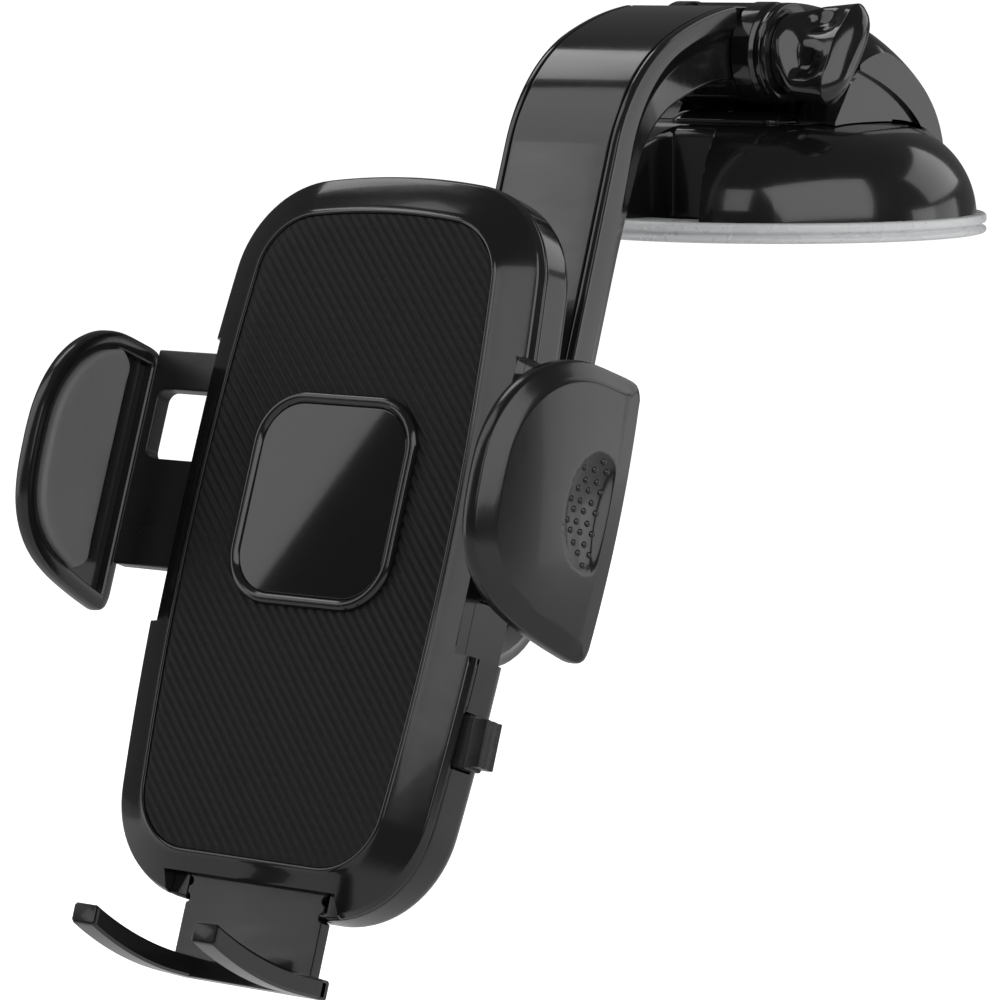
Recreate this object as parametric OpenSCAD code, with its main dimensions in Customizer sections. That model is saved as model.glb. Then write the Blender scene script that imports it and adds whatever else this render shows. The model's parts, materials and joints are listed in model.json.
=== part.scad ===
// Suction-mounted phone holder with a curved arm, a ball joint and spring clamp jaws.
// Millimetres, +Z up, X = 0 is the symmetry plane and the phone side faces -Y.
// The origin is the centre of the suction ring's underside.

/* [Suction base] */
// Radius of the gel suction ring
pad_r = 40; // [38:0.5:44]
// Thickness of the gel suction ring
pad_h = 3.6; // [3:0.1:4.2]
// Height of the dome's flat top
dome_top = 20.3; // [19.8:0.1:20.5]
// Radius of the dome's rounded shoulder
dome_round = 17.6; // [16.5:0.1:18]
// Half width of the recess in the dome's front
recess_half = 12.6; // [12.4:0.1:13.5]

/* [Pivot] */
// Distance of the arm pivot ahead of the base centre
pivot_ahead = 14.6; // [14:0.1:15.2]
// Height of the arm pivot
pivot_z = 33.1; // [33:0.05:33.3]
// Radius of the bracket's round ears
ear_r = 9.2; // [8.6:0.1:9.2]

/* [Lock lever] */
// Radius of the lever's rounded hood
hood_r = 30.2; // [29.5:0.1:30.6]
// Half width of the lever's hood
hood_half = 21.4; // [19:0.2:21.6]

/* [Arm] */
// Half width of the curved arm
arm_half = 12; // [11.6:0.1:12]
// Thickness of the curved arm
arm_deep = 11; // [10.5:0.1:11.4]

/* [Cradle] */
// Lean-back angle of the cradle
lean = 20; // [19.9:0.05:20.1]
// Largest half width of the front pad
face_half = 26.1; // [25.8:0.1:26.3]
// Width of the sloped bezel around the front pad
bezel_w = 7.3; // [7.1:0.1:7.4]
// Depth of the cradle's housing
case_deep = 15.6; // [15.4:0.1:15.8]

/* [Clamp jaws] */
// Distance from the middle to each open jaw
jaw_open = 46.6; // [46.4:0.1:47.4]
// Radius of the jaw's rounded front edge
jaw_r = 21; // [20.5:0.1:21.2]

/* [Support tray] */
// Half width of the sliding tray plate
tray_half = 14.1; // [13.4:0.1:14.2]
// Radius of the upturned hooks
hook_r = 72; // [66:1:80]

/* [Hidden] */
$fn = 72;
cradle_y = -136.8;
cradle_z = -46.7;

// Base
shoulder_x = pad_r - 1.8 - dome_round;
shoulder_z = dome_top - dome_round;
lever_y = 31;
lever_z = 12;
rocker_y = 12;
rocker_z = 14.2;
recess_back = -25;
hood_y = 6;
hood_z = 11.7;
lip_y = -2.5;
lip_z = 28.3;

// Arm path: a straight run, a tight bend and a wide bend
bend_r = 32;
crown_r = 71;
crown_a = 112;
bend_y = -37.03;
bend_z = 7.26;
straight_l = 90.4;
crown_y = bend_y + (bend_r - crown_r) * cos(crown_a);
crown_z = bend_z + (bend_r - crown_r) * sin(crown_a);
arm_end_a = 96.2;
tongue_half = 6.3;
hub_r = 9;
groove = 0.2;
cover_half = arm_half - 1.8;
cover_deep = 1.2;

// Ball joint, in the cradle's own frame
ball_y = 28.5;
ball_v = 4;
ball_r = 8.5;
seat_r = 10.1;
arm_face = 43;
neck_r = 4.2;

// Cradle outline
side_r = 464;
side_v = 3;
top_r = 118;
face_top = 58.7;
face_low = -49.2;
corner_r = 10.5;
notch_half = 30.8;
notch_low = -12.3;
notch_top = 36.6;

// Clamp drive
bar_y0 = 6;
bar_y1 = 9.4;
bar_low = -2.7;
bar_mid = 15.9;
bar_up = 28;
bar_top = 34.8;
bar_in = 16;
gear_v = (bar_mid + bar_up) / 2;
gear_r = 3.5;
gear_n = 10;
tooth_p = 2 * PI * gear_r / gear_n;
jaw_mid = 12;

// Release parts
pawl_u = 14;
pawl_v = -12;
btn_low = -29.9;
btn_top = -21.2;
btn_mid = (btn_low + btn_top) / 2;

// Tray
tray_y0 = 4.4;
tray_y1 = 6.8;
tray_low = -69.3;
hook_top = -66;
hook_in = 9.8;
hook_out = 14.7;

black = [0.07, 0.07, 0.075];
dark = [0.16, 0.16, 0.17];
soft = [0.35, 0.35, 0.36];
metal = [0.62, 0.63, 0.65];
gel = [0.75, 0.77, 0.78, 0.9];

// Places children in the cradle's frame: x across, y into the case, z up the cradle
module cradle() {
    translate([0, cradle_y, cradle_z])
        rotate([-lean, 0, 0])
            children();
}

// Extrudes a face drawing between two depths of the cradle
module depth(y0, y1) {
    translate([0, y1, 0])
        rotate([90, 0, 0])
            linear_extrude(height = y1 - y0)
                children();
}

// Extrudes a side drawing between two x positions
module along_x(x0, x1) {
    translate([x0, 0, 0])
        rotate([90, 0, 90])
            linear_extrude(height = x1 - x0)
                children();
}

// A bar along X
module rod_x(x0, x1, y, z, r) {
    translate([x0, y, z])
        rotate([0, 90, 0])
            cylinder(h = x1 - x0, r = r);
}

// A bar along the cradle's depth
module rod_y(y0, y1, x, z, r) {
    translate([x, y0, z])
        rotate([-90, 0, 0])
            cylinder(h = y1 - y0, r = r);
}

module box(x0, x1, y0, y1, z0, z1) {
    translate([x0, y0, z0])
        cube([x1 - x0, y1 - y0, z1 - z0]);
}

// A coil of round wire; each slice of it is an arc of the wire's height over its pitch
module coil(r, wire, pitch, turns) {
    linear_extrude(height = pitch * turns, twist = -360 * turns, slices = 20 * turns, $fn = 8)
        polygon(concat(
            [for (k = [-4 : 4]) coil_point(r, wire, pitch, k / 4, 1)],
            [for (k = [3 : -1 : -3]) coil_point(r, wire, pitch, k / 4, -1)]));
}

function coil_point(r, wire, pitch, f, side) =
    let (a = 180 * f * wire / pitch, d = r + side * wire / 2 * sqrt(1 - f * f))
        [d * cos(a), d * sin(a)];

// ---------- suction base ----------

module suction_ring() {
    color(gel)
        rotate_extrude()
            polygon([[24, 0], [pad_r - 0.5, 0], [pad_r, 0.4], [pad_r, 1.1],
                [pad_r - 0.8, 1.3], [pad_r - 0.8, 1.8], [pad_r, 2.0], [pad_r, pad_h - 0.3],
                [pad_r - 0.3, pad_h], [30, pad_h], [28, 2.4], [24, 2.2]]);
}

module cup_membrane() {
    color(soft)
        rotate_extrude()
            polygon([[0, 1.5], [13, 1.5], [20, 0.4], [23.9, 0.4], [23.9, 2],
                [20.5, 2], [13.6, 3.1], [0, 3.1]]);
}

module dome_profile(grow) {
    translate([0, pad_h])
        square([shoulder_x, shoulder_z + dome_round + grow - pad_h]);
    intersection() {
        translate([shoulder_x, shoulder_z])
            circle(r = dome_round + grow);
        translate([shoulder_x, pad_h])
            square([dome_round + 5, dome_round + 5]);
    }
}

module base_housing() {
    color(black)
        difference() {
            union() {
                difference() {
                    rotate_extrude()
                        dome_profile(0);
                    translate([0, 0, -0.02])
                        rotate_extrude()
                            dome_profile(-2);
                    box(-17.2, 17.2, 19.4, 40, pad_h + 1.4, 30);
                }
                // recess walls and floor, trimmed to the dome
                intersection() {
                    rotate_extrude()
                        dome_profile(0);
                    box(-recess_half - 2, recess_half + 2, -40, recess_back + 2, 0, 30);
                }
                // rear pocket walls, trimmed to the dome
                intersection() {
                    rotate_extrude()
                        dome_profile(0);
                    difference() {
                        box(-19, 19, 17.6, 40, 0, 30);
                        box(-17.2, 17.2, 19.4, 41, pad_h + 1.4, 31);
                        box(-5, 5, 17, 20, 10, 17.4);
                    }
                }
                // spring web with the stud guide
                box(-35, 35, -7, 7, 8.6, 10.6);
                // rocker posts under the roof
                box(-7.4, -4.6, rocker_y - 2.5, rocker_y + 2.5, 11.8, 19);
                box(4.6, 7.4, rocker_y - 2.5, rocker_y + 2.5, 11.8, 19);
                // lever bearing ears
                bearing(-8.6);
                bearing(6);
            }
            box(-recess_half, recess_half, -41, recess_back, pad_h + 1, 31);
            rod_x(-9, 9, lever_y, lever_z, 1.5);
            rod_x(-8, 8, rocker_y, rocker_z, 1.5);
            translate([0, 0, 8])
                cylinder(h = 4, r = 2.3);
            translate([-7.5, -8, 15])
                cylinder(h = 8, r = 1.4);
            translate([7.5, -8, 15])
                cylinder(h = 8, r = 1.4);
        }
}

module bearing(x0) {
    rod_x(x0, x0 + 2.6, lever_y, lever_z, 3);
    box(x0, x0 + 2.6, lever_y - 3, lever_y + 3, pad_h + 1, lever_z);
}

module draw_stud() {
    color(metal) {
        translate([0, 0, 3.1])
            cylinder(h = 1.5, r = 13);
        translate([0, 0, 4.6])
            cylinder(h = 11.1, r = 2);
        translate([0, 0, 15.7])
            cylinder(h = 1.3, r = 4);
    }
}

module stud_spring() {
    color(metal)
        translate([0, 0, 4.7])
            coil(5.5, 0.8, 1.25, 3);
}

module draw_rocker() {
    color(metal)
        difference() {
            union() {
                box(-4, 4, -4, 27.6, 13.2, 15.2);
                rod_x(-4, 4, rocker_y, rocker_z, 2.8);
            }
            box(-2.3, 2.3, -5, 4.6, 13, 16);
            rod_x(-5, 5, rocker_y, rocker_z, 1.56);
        }
}

module rocker_pin() {
    color(metal)
        rod_x(-7.4, 7.4, rocker_y, rocker_z, 1.5);
}

module lever_pin() {
    color(metal)
        rod_x(-8.6, 8.6, lever_y, lever_z, 1.5);
}

module lock_lever() {
    color(black)
        difference() {
            union() {
                difference() {
                    intersection() {
                        translate([0, hood_y, hood_z])
                            sphere(r = hood_r, $fn = 96);
                        along_x(-hood_half, hood_half)
                            polygon([[lip_y, 60], [lip_y, lip_z], [6.4, 20.6], [6.4, 12],
                                [33.8, 12], [33.8, 60]]);
                    }
                    intersection() {
                        translate([0, hood_y, hood_z])
                            sphere(r = hood_r - 2, $fn = 96);
                        along_x(2 - hood_half, hood_half - 2)
                            polygon([[lip_y + 2, 60], [lip_y + 2, lip_z + 0.9], [8.4, 21.5],
                                [8.4, 0], [31.8, 0], [31.8, 60]]);
                    }
                    rotate_extrude()
                        dome_profile(0.6);
                    // finger gap under the front lip
                    box(-14, 14, -5, 9.4, 20, 24.3);
                }
                // skirt that closes the dome's rear pocket
                intersection() {
                    rotate_extrude()
                        difference() {
                            dome_profile(0);
                            dome_profile(-2);
                        }
                    difference() {
                        box(-16.6, 16.6, 28, 40, 9.2, 16.5);
                        box(5.4, 9.2, 27, 41, 9, 15.3);
                        box(-9.2, -5.4, 27, 41, 9, 15.3);
                    }
                }
                intersection() {
                    box(-11, 11, 31.8, 33.8, 15.3, 18);
                    rotate_extrude()
                        dome_profile(2);
                }
                // hinge lug
                rod_x(-5.7, 5.7, lever_y, lever_z, 3.2);
                box(-5.7, 5.7, lever_y - 2, lever_y + 2, lever_z, 26);
                // nose that bears on the rocker
                box(-3.5, 3.5, lever_y - 6, lever_y, 15.6, 19);
            }
            rod_x(-6, 6, lever_y, lever_z, 1.56);
        }
}

module pivot_bracket() {
    color(black)
        difference() {
            union() {
                translate([0, 2.6, 0])
                    rotate([90, 0, 0])
                        linear_extrude(height = 19.6)
                            polygon([[-11.6, dome_top], [11.6, dome_top], [9.4, 23.7],
                                [-9.4, 23.7]]);
                ear(6.6);
                ear(-11.6);
            }
            rod_x(-13, 13, -pivot_ahead, pivot_z, 2.1);
            // hexagon pocket that keeps the bolt head from turning
            translate([-11.7, -pivot_ahead, pivot_z])
                rotate([0, 90, 0])
                    cylinder(h = 2.6, r = 4.3, $fn = 6);
            translate([-7.5, -8, 15])
                cylinder(h = 8, r = 1.2);
            translate([7.5, -8, 15])
                cylinder(h = 8, r = 1.2);
        }
}

module ear(x0) {
    rod_x(x0, x0 + 5, -pivot_ahead, pivot_z, ear_r);
    along_x(x0, x0 + 5)
        polygon([[-13.5, dome_top + 0.1], [2.6, dome_top + 0.1], [2.6, 22.2],
            [-5, 28.4], [-16.5, 27]]);
}

module bracket_screws() {
    color(metal) {
        bracket_screw(-7.5);
        bracket_screw(7.5);
    }
}

module bracket_screw(x) {
    translate([x, -8, 16.2])
        cylinder(h = 2, r = 2.4);
    translate([x, -8, 16.3])
        cylinder(h = 6.2, r = 1.2);
}

module pivot_bolt() {
    color(metal) {
        translate([-11.6, -pivot_ahead, pivot_z])
            rotate([0, 90, 0])
                cylinder(h = 2.5, r = 4.2, $fn = 6);
        rod_x(-9.2, 19, -pivot_ahead, pivot_z, 2);
    }
}

module friction_washers() {
    color(dark) {
        washer(-6.55, 0.2, 7.5, 2.2);
        washer(6.35, 0.2, 7.5, 2.2);
    }
}

module washer(x0, t, r1, r0) {
    difference() {
        rod_x(x0, x0 + t, -pivot_ahead, pivot_z, r1);
        rod_x(x0 - 1, x0 + t + 1, -pivot_ahead, pivot_z, r0);
    }
}

module knob_washer() {
    color(metal)
        washer(11.65, 2.3, 8.9, 2.2);
}

module wing_knob() {
    color(black)
        difference() {
            union() {
                rod_x(14.3, 16, -pivot_ahead, pivot_z, 6.5);
                rod_x(16, 24.2, -pivot_ahead, pivot_z, 5);
                translate([16, -pivot_ahead, pivot_z])
                    rotate([52, 0, 0])
                        wing();
            }
            rod_x(14, 20, -pivot_ahead, pivot_z, 2.05);
        }
}

module wing() {
    rotate([90, 0, 90]) {
        box(-8.2, 8.2, -2.2, 2.2, 0, 8.2);
        translate([-8.2, 0, 0])
            cylinder(h = 8.2, r = 2.2);
        translate([8.2, 0, 0])
            cylinder(h = 8.2, r = 2.2);
    }
}

// ---------- arm ----------

// Cross-section: x across, y from the front face to the back
module arm_section(half, deep) {
    difference() {
        polygon([[-half + 0.8, 0], [half - 0.8, 0], [half, 0.8], [half, 6],
            [half - 2.6, deep], [2.6 - half, deep], [-half, 6], [-half, 0.8]]);
        translate([-cover_half - groove, -1])
            square([2 * (cover_half + groove), 1 + cover_deep + 0.1]);
    }
}

// Points down the arm's side view at a depth under its front face
function arm_line(d) = concat(
    [for (a = [arm_end_a + 2.3 : 1.8 : crown_a - 0.1]) on_arc(crown_y, crown_z, crown_r - d, a)],
    [for (a = [crown_a : 4 : 180 - lean]) on_arc(bend_y, bend_z, bend_r - d, a)],
    [on_arc(bend_y, bend_z, bend_r - d, 180 - lean)
        - (straight_l - 1) * [sin(lean), cos(lean)]]);

function on_arc(cy, cz, r, a) = [cy + r * cos(a), cz + r * sin(a)];

module arm_arc(cy, cz, r, a0, a1) {
    translate([0, cy, cz])
        rotate([90, 0, 90])
            rotate([0, 0, a0])
                rotate_extrude(angle = a1 - a0, $fn = 180)
                    translate([r, 0])
                        rotate(90)
                            children();
}

module arm_run(start, stop) {
    translate([0, bend_y - bend_r * cos(lean), bend_z + bend_r * sin(lean)])
        rotate([-lean, 0, 0])
            translate([0, 0, -stop])
                linear_extrude(height = stop - start)
                    children();
}

module arm_body() {
    color(black)
        difference() {
            union() {
                arm_run(-0.3, straight_l)
                    arm_section(arm_half, arm_deep);
                arm_arc(bend_y, bend_z, bend_r, crown_a, 180 - lean)
                    arm_section(arm_half, arm_deep);
                arm_arc(crown_y, crown_z, crown_r, arm_end_a, crown_a + 0.2)
                    arm_section(arm_half, arm_deep);
                // tongue and hub between the bracket's ears
                along_x(-tongue_half, tongue_half)
                    intersection() {
                        translate([crown_y, crown_z])
                            circle(r = crown_r - 0.1, $fn = 180);
                        translate([-32, 27])
                            square([17.4, 20]);
                    }
                rod_x(-tongue_half, tongue_half, -pivot_ahead, pivot_z, hub_r);
            }
            rod_x(-7, 7, -pivot_ahead, pivot_z, 2.1);
            cradle()
                rod_y(arm_face - 1, arm_face + 14, 0, ball_v, 2.6);
            cradle()
                rod_y(arm_face - 1, arm_face + 1.35, 0, ball_v, 9.1);
            cradle()
                rod_y(arm_face + 7.5, arm_face + 14, 0, ball_v, 4.6);
        }
}

module arm_cover() {
    color(black)
        difference() {
            along_x(-cover_half, cover_half)
                polygon(concat(arm_line(0), [for (k = [len(arm_line(0)) - 1 : -1 : 0])
                    arm_line(cover_deep - 0.15)[k]]));
            cradle()
                rod_y(arm_face - 1, arm_face + 2, 0, ball_v, 9.3);
        }
}

module ball_stud() {
    color(metal)
        cradle()
            difference() {
                union() {
                    translate([0, ball_y, ball_v])
                        sphere(r = ball_r, $fn = 96);
                    rod_y(ball_y + 4, arm_face - 1.5, 0, ball_v, neck_r);
                    rod_y(arm_face - 1.8, arm_face + 1.2, 0, ball_v, 9);
                }
                rod_y(arm_face - 8, arm_face + 2, 0, ball_v, 1.6);
            }
}

module stud_screw() {
    color(metal)
        cradle() {
            rod_y(arm_face - 7, arm_face + 7.6, 0, ball_v, 1.6);
            rod_y(arm_face + 7.6, arm_face + 9.8, 0, ball_v, 4.2);
        }
}

// ---------- ball joint ----------

// A spherical band around the ball between two offsets along the depth
module seat_band(d0, d1) {
    difference() {
        intersection() {
            translate([0, ball_y, ball_v])
                sphere(r = seat_r, $fn = 96);
            box(-12, 12, ball_y + d0, ball_y + d1, ball_v - 12, ball_v + 12);
        }
        translate([0, ball_y, ball_v])
            sphere(r = ball_r + 0.06, $fn = 96);
        rod_y(ball_y - 20, ball_y + 20, 0, ball_v, 6.6);
    }
}

module seat_rear() {
    color(soft)
        cradle()
            seat_band(1.2, 6.5);
}

module seat_front() {
    color(soft)
        cradle()
            seat_band(-6.5, -4.2);
}

module ball_socket() {
    color(black)
        cradle()
            difference() {
                union() {
                    rod_y(case_deep + 0.05, case_deep + 3.2, 0, ball_v, 15);
                    rod_y(case_deep + 3.2, ball_y + 1.5, 0, ball_v, 12.4);
                }
                translate([0, ball_y, ball_v])
                    sphere(r = seat_r + 0.06, $fn = 96);
                rod_y(ball_y, ball_y + 3, 0, ball_v, seat_r + 0.06);
                rod_y(case_deep - 1, ball_y, 0, ball_v, 5);
                socket_holes(1.3, case_deep - 1, case_deep + 4);
                socket_holes(2.3, case_deep + 2, case_deep + 6);
                // relief slots that let the cup grip the ball
                box(-0.8, 0.8, case_deep + 5, ball_y + 2, ball_v - 14, ball_v + 14);
                box(-14, 14, case_deep + 5, ball_y + 2, ball_v - 0.8, ball_v + 0.8);
            }
}

module socket_holes(r, y0, y1) {
    for (a = [45 : 90 : 315])
        rod_y(y0, y1, 13.2 * cos(a) * 0.82, ball_v + 13.2 * sin(a) * 0.82, r);
}

module socket_screws() {
    color(metal)
        cradle()
            for (a = [45 : 90 : 315]) {
                rod_y(case_deep - 1.9, case_deep + 2, 13.2 * cos(a) * 0.82,
                    ball_v + 13.2 * sin(a) * 0.82, 1.2);
                rod_y(case_deep + 2, case_deep + 3.1, 13.2 * cos(a) * 0.82,
                    ball_v + 13.2 * sin(a) * 0.82, 2.1);
            }
}

module lock_nut() {
    color(black)
        cradle()
            difference() {
                union() {
                    rod_y(case_deep + 4.2, ball_y + 4, 0, ball_v, 15.4);
                    translate([0, ball_y + 4, ball_v])
                        rotate([-90, 0, 0])
                            cylinder(h = 2.5, r1 = 15.4, r2 = 12);
                }
                rod_y(case_deep + 3, ball_y + 1.9, 0, ball_v, 12.5);
                translate([0, ball_y, ball_v])
                    sphere(r = seat_r + 0.06, $fn = 96);
                rod_y(ball_y, ball_y + 9, 0, ball_v, 7.9);
                for (a = [0 : 30 : 330])
                    rod_y(case_deep + 3, ball_y + 9, 17.6 * cos(a), ball_v + 17.6 * sin(a), 3.1);
            }
}

// ---------- cradle shell ----------

module face_shape() {
    offset(r = corner_r, $fn = 64)
        offset(delta = -corner_r)
            intersection() {
                translate([face_half - side_r, side_v])
                    circle(r = side_r, $fn = 360);
                translate([side_r - face_half, side_v])
                    circle(r = side_r, $fn = 360);
                translate([0, face_top - top_r])
                    circle(r = top_r, $fn = 360);
                translate([-40, face_low])
                    square([80, 120]);
            }
}

module outline(grow) {
    offset(r = grow, $fn = 64)
        face_shape();
}

// Side notches that the closed jaws fold into
module notches(y0, y1) {
    box(notch_half, 50, y0, y1, notch_low, notch_top);
    box(-50, -notch_half, y0, y1, notch_low, notch_top);
}

module badge_shape(grow) {
    translate([0, 9.9])
        offset(r = 9.4 + grow, $fn = 64)
            square([33.8 - 18.8, 36.3 - 18.8], center = true);
}

module front_bezel() {
    color(black)
        cradle()
            difference() {
                hull() {
                    depth(0, 0.2)
                        outline(0.9);
                    depth(3, 3.2)
                        outline(bezel_w - 0.1);
                    depth(4.3, 4.6)
                        outline(bezel_w + 0.4);
                }
                depth(-1, 1.3)
                    outline(0.12);
                depth(3, 5)
                    outline(4);
                notches(-1, 5);
                box(-17.6, 17.6, 1.4, 5, -70, -52.8);
                depth(-1, 2.2)
                    badge_shape(-0.8);
                for (u = [-21, 21], v = [-41, 47])
                    rod_y(2.2, 5, u, v, 1.1);
            }
}

module front_pad() {
    color(dark)
        cradle()
            difference() {
                depth(0, 1.2)
                    outline(0);
                depth(-1, 2)
                    badge_shape(0.1);
            }
}

module badge_ring() {
    color(black)
        cradle()
            difference() {
                union() {
                    depth(-0.9, -0.2)
                        badge_shape(-0.6);
                    depth(-0.2, 1.25)
                        badge_shape(0);
                    depth(1.25, 2.1)
                        badge_shape(-0.9);
                }
                depth(-2, 0.9)
                    badge_shape(-2.1);
            }
}

module badge_plate() {
    color(dark)
        cradle()
            depth(-0.5, 0.8)
                badge_shape(-2.2);
}

module rear_casing() {
    color(black)
        cradle()
            difference() {
                union() {
                    difference() {
                        hull() {
                            depth(4.7, 10.5)
                                outline(bezel_w + 0.5);
                            depth(case_deep - 0.2, case_deep)
                                outline(2.5);
                        }
                        hull() {
                            depth(3, 10.5)
                                outline(bezel_w - 1.7);
                            depth(case_deep - 2.3, case_deep - 2.2)
                                outline(1);
                        }
                    }
                    for (u = [-21, 21], v = [-41, 47])
                        rod_y(5, case_deep - 2, u, v, 3);
                    // pinion post, pawl post
                    rod_y(9.6, case_deep - 2, 0, gear_v, 2.6);
                    rod_y(5.6, case_deep - 2, 0, gear_v, 1.5);
                    rod_y(9.2, case_deep - 2, pawl_u, pawl_v, 2.2);
                    rod_y(5.8, case_deep - 2, pawl_u, pawl_v, 1.2);
                    // tray guide rails
                    box(15.9, 17.6, 5, 13.6, -53.5, -34);
                    box(-17.6, -15.9, 5, 13.6, -53.5, -34);
                    // side walls behind the jaw notches
                    box(notch_half - 2, notch_half, 4.7, 11.5, notch_low - 3, notch_top + 3);
                    box(-notch_half, 2 - notch_half, 4.7, 11.5, notch_low - 3, notch_top + 3);
                }
                notches(3, 17);
                // jaw arm openings
                box(-45, 45, 5.6, 9.8, bar_low - 0.4, bar_top + 0.4);
                // button opening
                box(27, 40, 3.7, 9.8, btn_low - 0.3, btn_top + 0.3);
                // tray outlet
                box(-tray_half - 0.4, tray_half + 0.4, 3, 7.2, -70, -45);
                for (u = [-21, 21], v = [-41, 47]) {
                    rod_y(4, case_deep + 1, u, v, 1.2);
                    rod_y(case_deep - 1.6, case_deep + 1, u, v, 2.4);
                }
                socket_holes(1.25, case_deep - 3, case_deep + 1);
            }
}

module case_screws() {
    color(metal)
        cradle()
            for (u = [-21, 21], v = [-41, 47]) {
                rod_y(2.6, case_deep - 1.5, u, v, 1);
                rod_y(case_deep - 1.5, case_deep - 0.2, u, v, 2.2);
            }
}

// ---------- clamp arms and jaws ----------

module rack_tooth(p) {
    translate([p, 0])
        polygon([[-0.78, -0.9], [0.78, -0.9], [0.31, 0.45], [-0.31, 0.45]]);
}

// Arm of the left jaw, with its rack below the pinion
module arm_shape() {
    translate([-jaw_open, bar_up])
        square([jaw_open - bar_in, bar_top - bar_up]);
    translate([-jaw_open, bar_low])
        square([jaw_open - bar_in, bar_mid - bar_low]);
    translate([-jaw_open, bar_low])
        square([1.4, bar_top - bar_low]);
    translate([-20, bar_mid - 0.4])
        square([3.8, 2.1]);
    translate([-20, bar_mid + 0.25])
        square([22.8, 1.45]);
    for (k = [-8 : 1])
        translate([0, gear_v - gear_r])
            rack_tooth(k * tooth_p);
}

module left_arm() {
    color(black)
        cradle()
            depth(bar_y0, bar_y1)
                arm_shape();
}

module right_arm() {
    color(black)
        cradle()
            depth(bar_y0, bar_y1)
                difference() {
                    translate([0, 2 * gear_v])
                        rotate(180)
                            right_shape();
                    // ratchet teeth for the pawl
                    for (k = [0 : 7])
                        translate([18 + 1.7 * k, bar_low])
                            polygon([[0, -0.1], [1.5, -0.1], [0, 0.9]]);
                }
}

// The right arm is the left arm turned half round the pinion, with its own bar heights
module right_shape() {
    translate([-jaw_open, 2 * gear_v - bar_mid])
        square([jaw_open - bar_in, bar_mid - bar_low]);
    translate([-jaw_open, 2 * gear_v - bar_top])
        square([jaw_open - bar_in, bar_top - bar_up]);
    translate([-jaw_open, 2 * gear_v - bar_top])
        square([1.4, bar_top - bar_low]);
    translate([-20, bar_mid - 0.4])
        square([3.8, 2.1]);
    translate([-20, bar_mid + 0.25])
        square([22.8, 1.45]);
    for (k = [-8 : 1])
        translate([0, gear_v - gear_r])
            rack_tooth(k * tooth_p);
}

// Side drawing of a jaw: x is depth, y is height
module jaw_shape(grow) {
    offset(r = grow, $fn = 48)
        union() {
            intersection() {
                translate([-1.5, jaw_mid + 2.1])
                    circle(r = jaw_r, $fn = 96);
                translate([-30, jaw_mid + 2.1])
                    square([28.5, 30]);
            }
            intersection() {
                translate([-1.5, jaw_mid - 2.1])
                    circle(r = jaw_r, $fn = 96);
                translate([-30, jaw_mid - 32.1])
                    square([28.5, 30]);
            }
            translate([-1.5 - jaw_r, jaw_mid - 2.1])
                square([jaw_r, 4.2]);
            translate([-1.5, jaw_mid - jaw_r - 2.1])
                square([11.1, 2 * jaw_r + 4.2]);
        }
}

// Jaw shell at positive x
module jaw_shell() {
    difference() {
        hull() {
            along_x(jaw_open, jaw_open + 0.6)
                jaw_shape(-0.8);
            along_x(jaw_open + 0.8, jaw_open + 2.6)
                jaw_shape(0);
            along_x(jaw_open + 5.4, jaw_open + 5.8)
                intersection() {
                    jaw_shape(-3.2);
                    translate([-8, -20])
                        square([12, 70]);
                }
        }
        // seat of the soft pad
        along_x(jaw_open - 1, jaw_open + 1.5)
            intersection() {
                jaw_shape(-2.9);
                translate([-30, -20])
                    square([28.8, 70]);
            }
        // thumb dish
        translate([jaw_open + 5.8 + 33.6, 0, jaw_mid])
            sphere(r = 35, $fn = 120);
    }
}

module jaw_pad() {
    along_x(jaw_open - 0.7, jaw_open + 1.4)
        intersection() {
            jaw_shape(-3.2);
            translate([-30, -20])
                square([28.5, 70]);
        }
}

module right_jaw() {
    color(black)
        cradle()
            jaw_shell();
}

module left_jaw() {
    color(black)
        cradle()
            mirror([1, 0, 0])
                jaw_shell();
}

module right_jaw_pad() {
    color(soft)
        cradle()
            jaw_pad();
}

module left_jaw_pad() {
    color(soft)
        cradle()
            mirror([1, 0, 0])
                jaw_pad();
}

// ---------- clamp drive and release ----------

module pinion() {
    color(metal)
        cradle()
            translate([0, 0, gear_v])
                depth(bar_y0, bar_y1)
                    difference() {
                        union() {
                            circle(r = gear_r - 0.9);
                            for (k = [0 : gear_n - 1])
                                rotate(360 / gear_n * k)
                                    polygon([[gear_r - 1.3, -0.72], [gear_r, -0.42],
                                        [gear_r + 0.45, -0.22], [gear_r + 0.45, 0.22],
                                        [gear_r, 0.42], [gear_r - 1.3, 0.72]]);
                        }
                        circle(r = 1.56);
                    }
}

module torsion_spring() {
    color(metal)
        cradle()
            translate([0, 9.9, gear_v])
                rotate([-90, 0, 0])
                    coil(3.4, 0.6, 0.85, 3);
}

module ratchet_pawl() {
    color(metal)
        cradle()
            difference() {
                union() {
                    rod_y(6, 9, pawl_u, pawl_v, 2.6);
                    depth(6, 9)
                        polygon([[pawl_u - 1, pawl_v + 2.2], [pawl_u + 1.8, pawl_v - 1.8],
                            [pawl_u + 11, pawl_v + 6.3], [pawl_u + 10, pawl_v + 8.9],
                            [pawl_u + 8.8, pawl_v + 6.8]]);
                    depth(6, 9)
                        polygon([[pawl_u - 2.3, pawl_v - 0.4], [pawl_u + 2.3, pawl_v - 0.6],
                            [pawl_u + 4.2, pawl_v - 15], [pawl_u + 1.8, pawl_v - 15]]);
                }
                rod_y(5, 10, pawl_u, pawl_v, 1.26);
            }
}

module pawl_spring() {
    color(metal)
        cradle()
            translate([pawl_u, 9.5, pawl_v])
                rotate([-90, 0, 0])
                    coil(2.8, 0.5, 0.9, 3);
}

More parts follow.
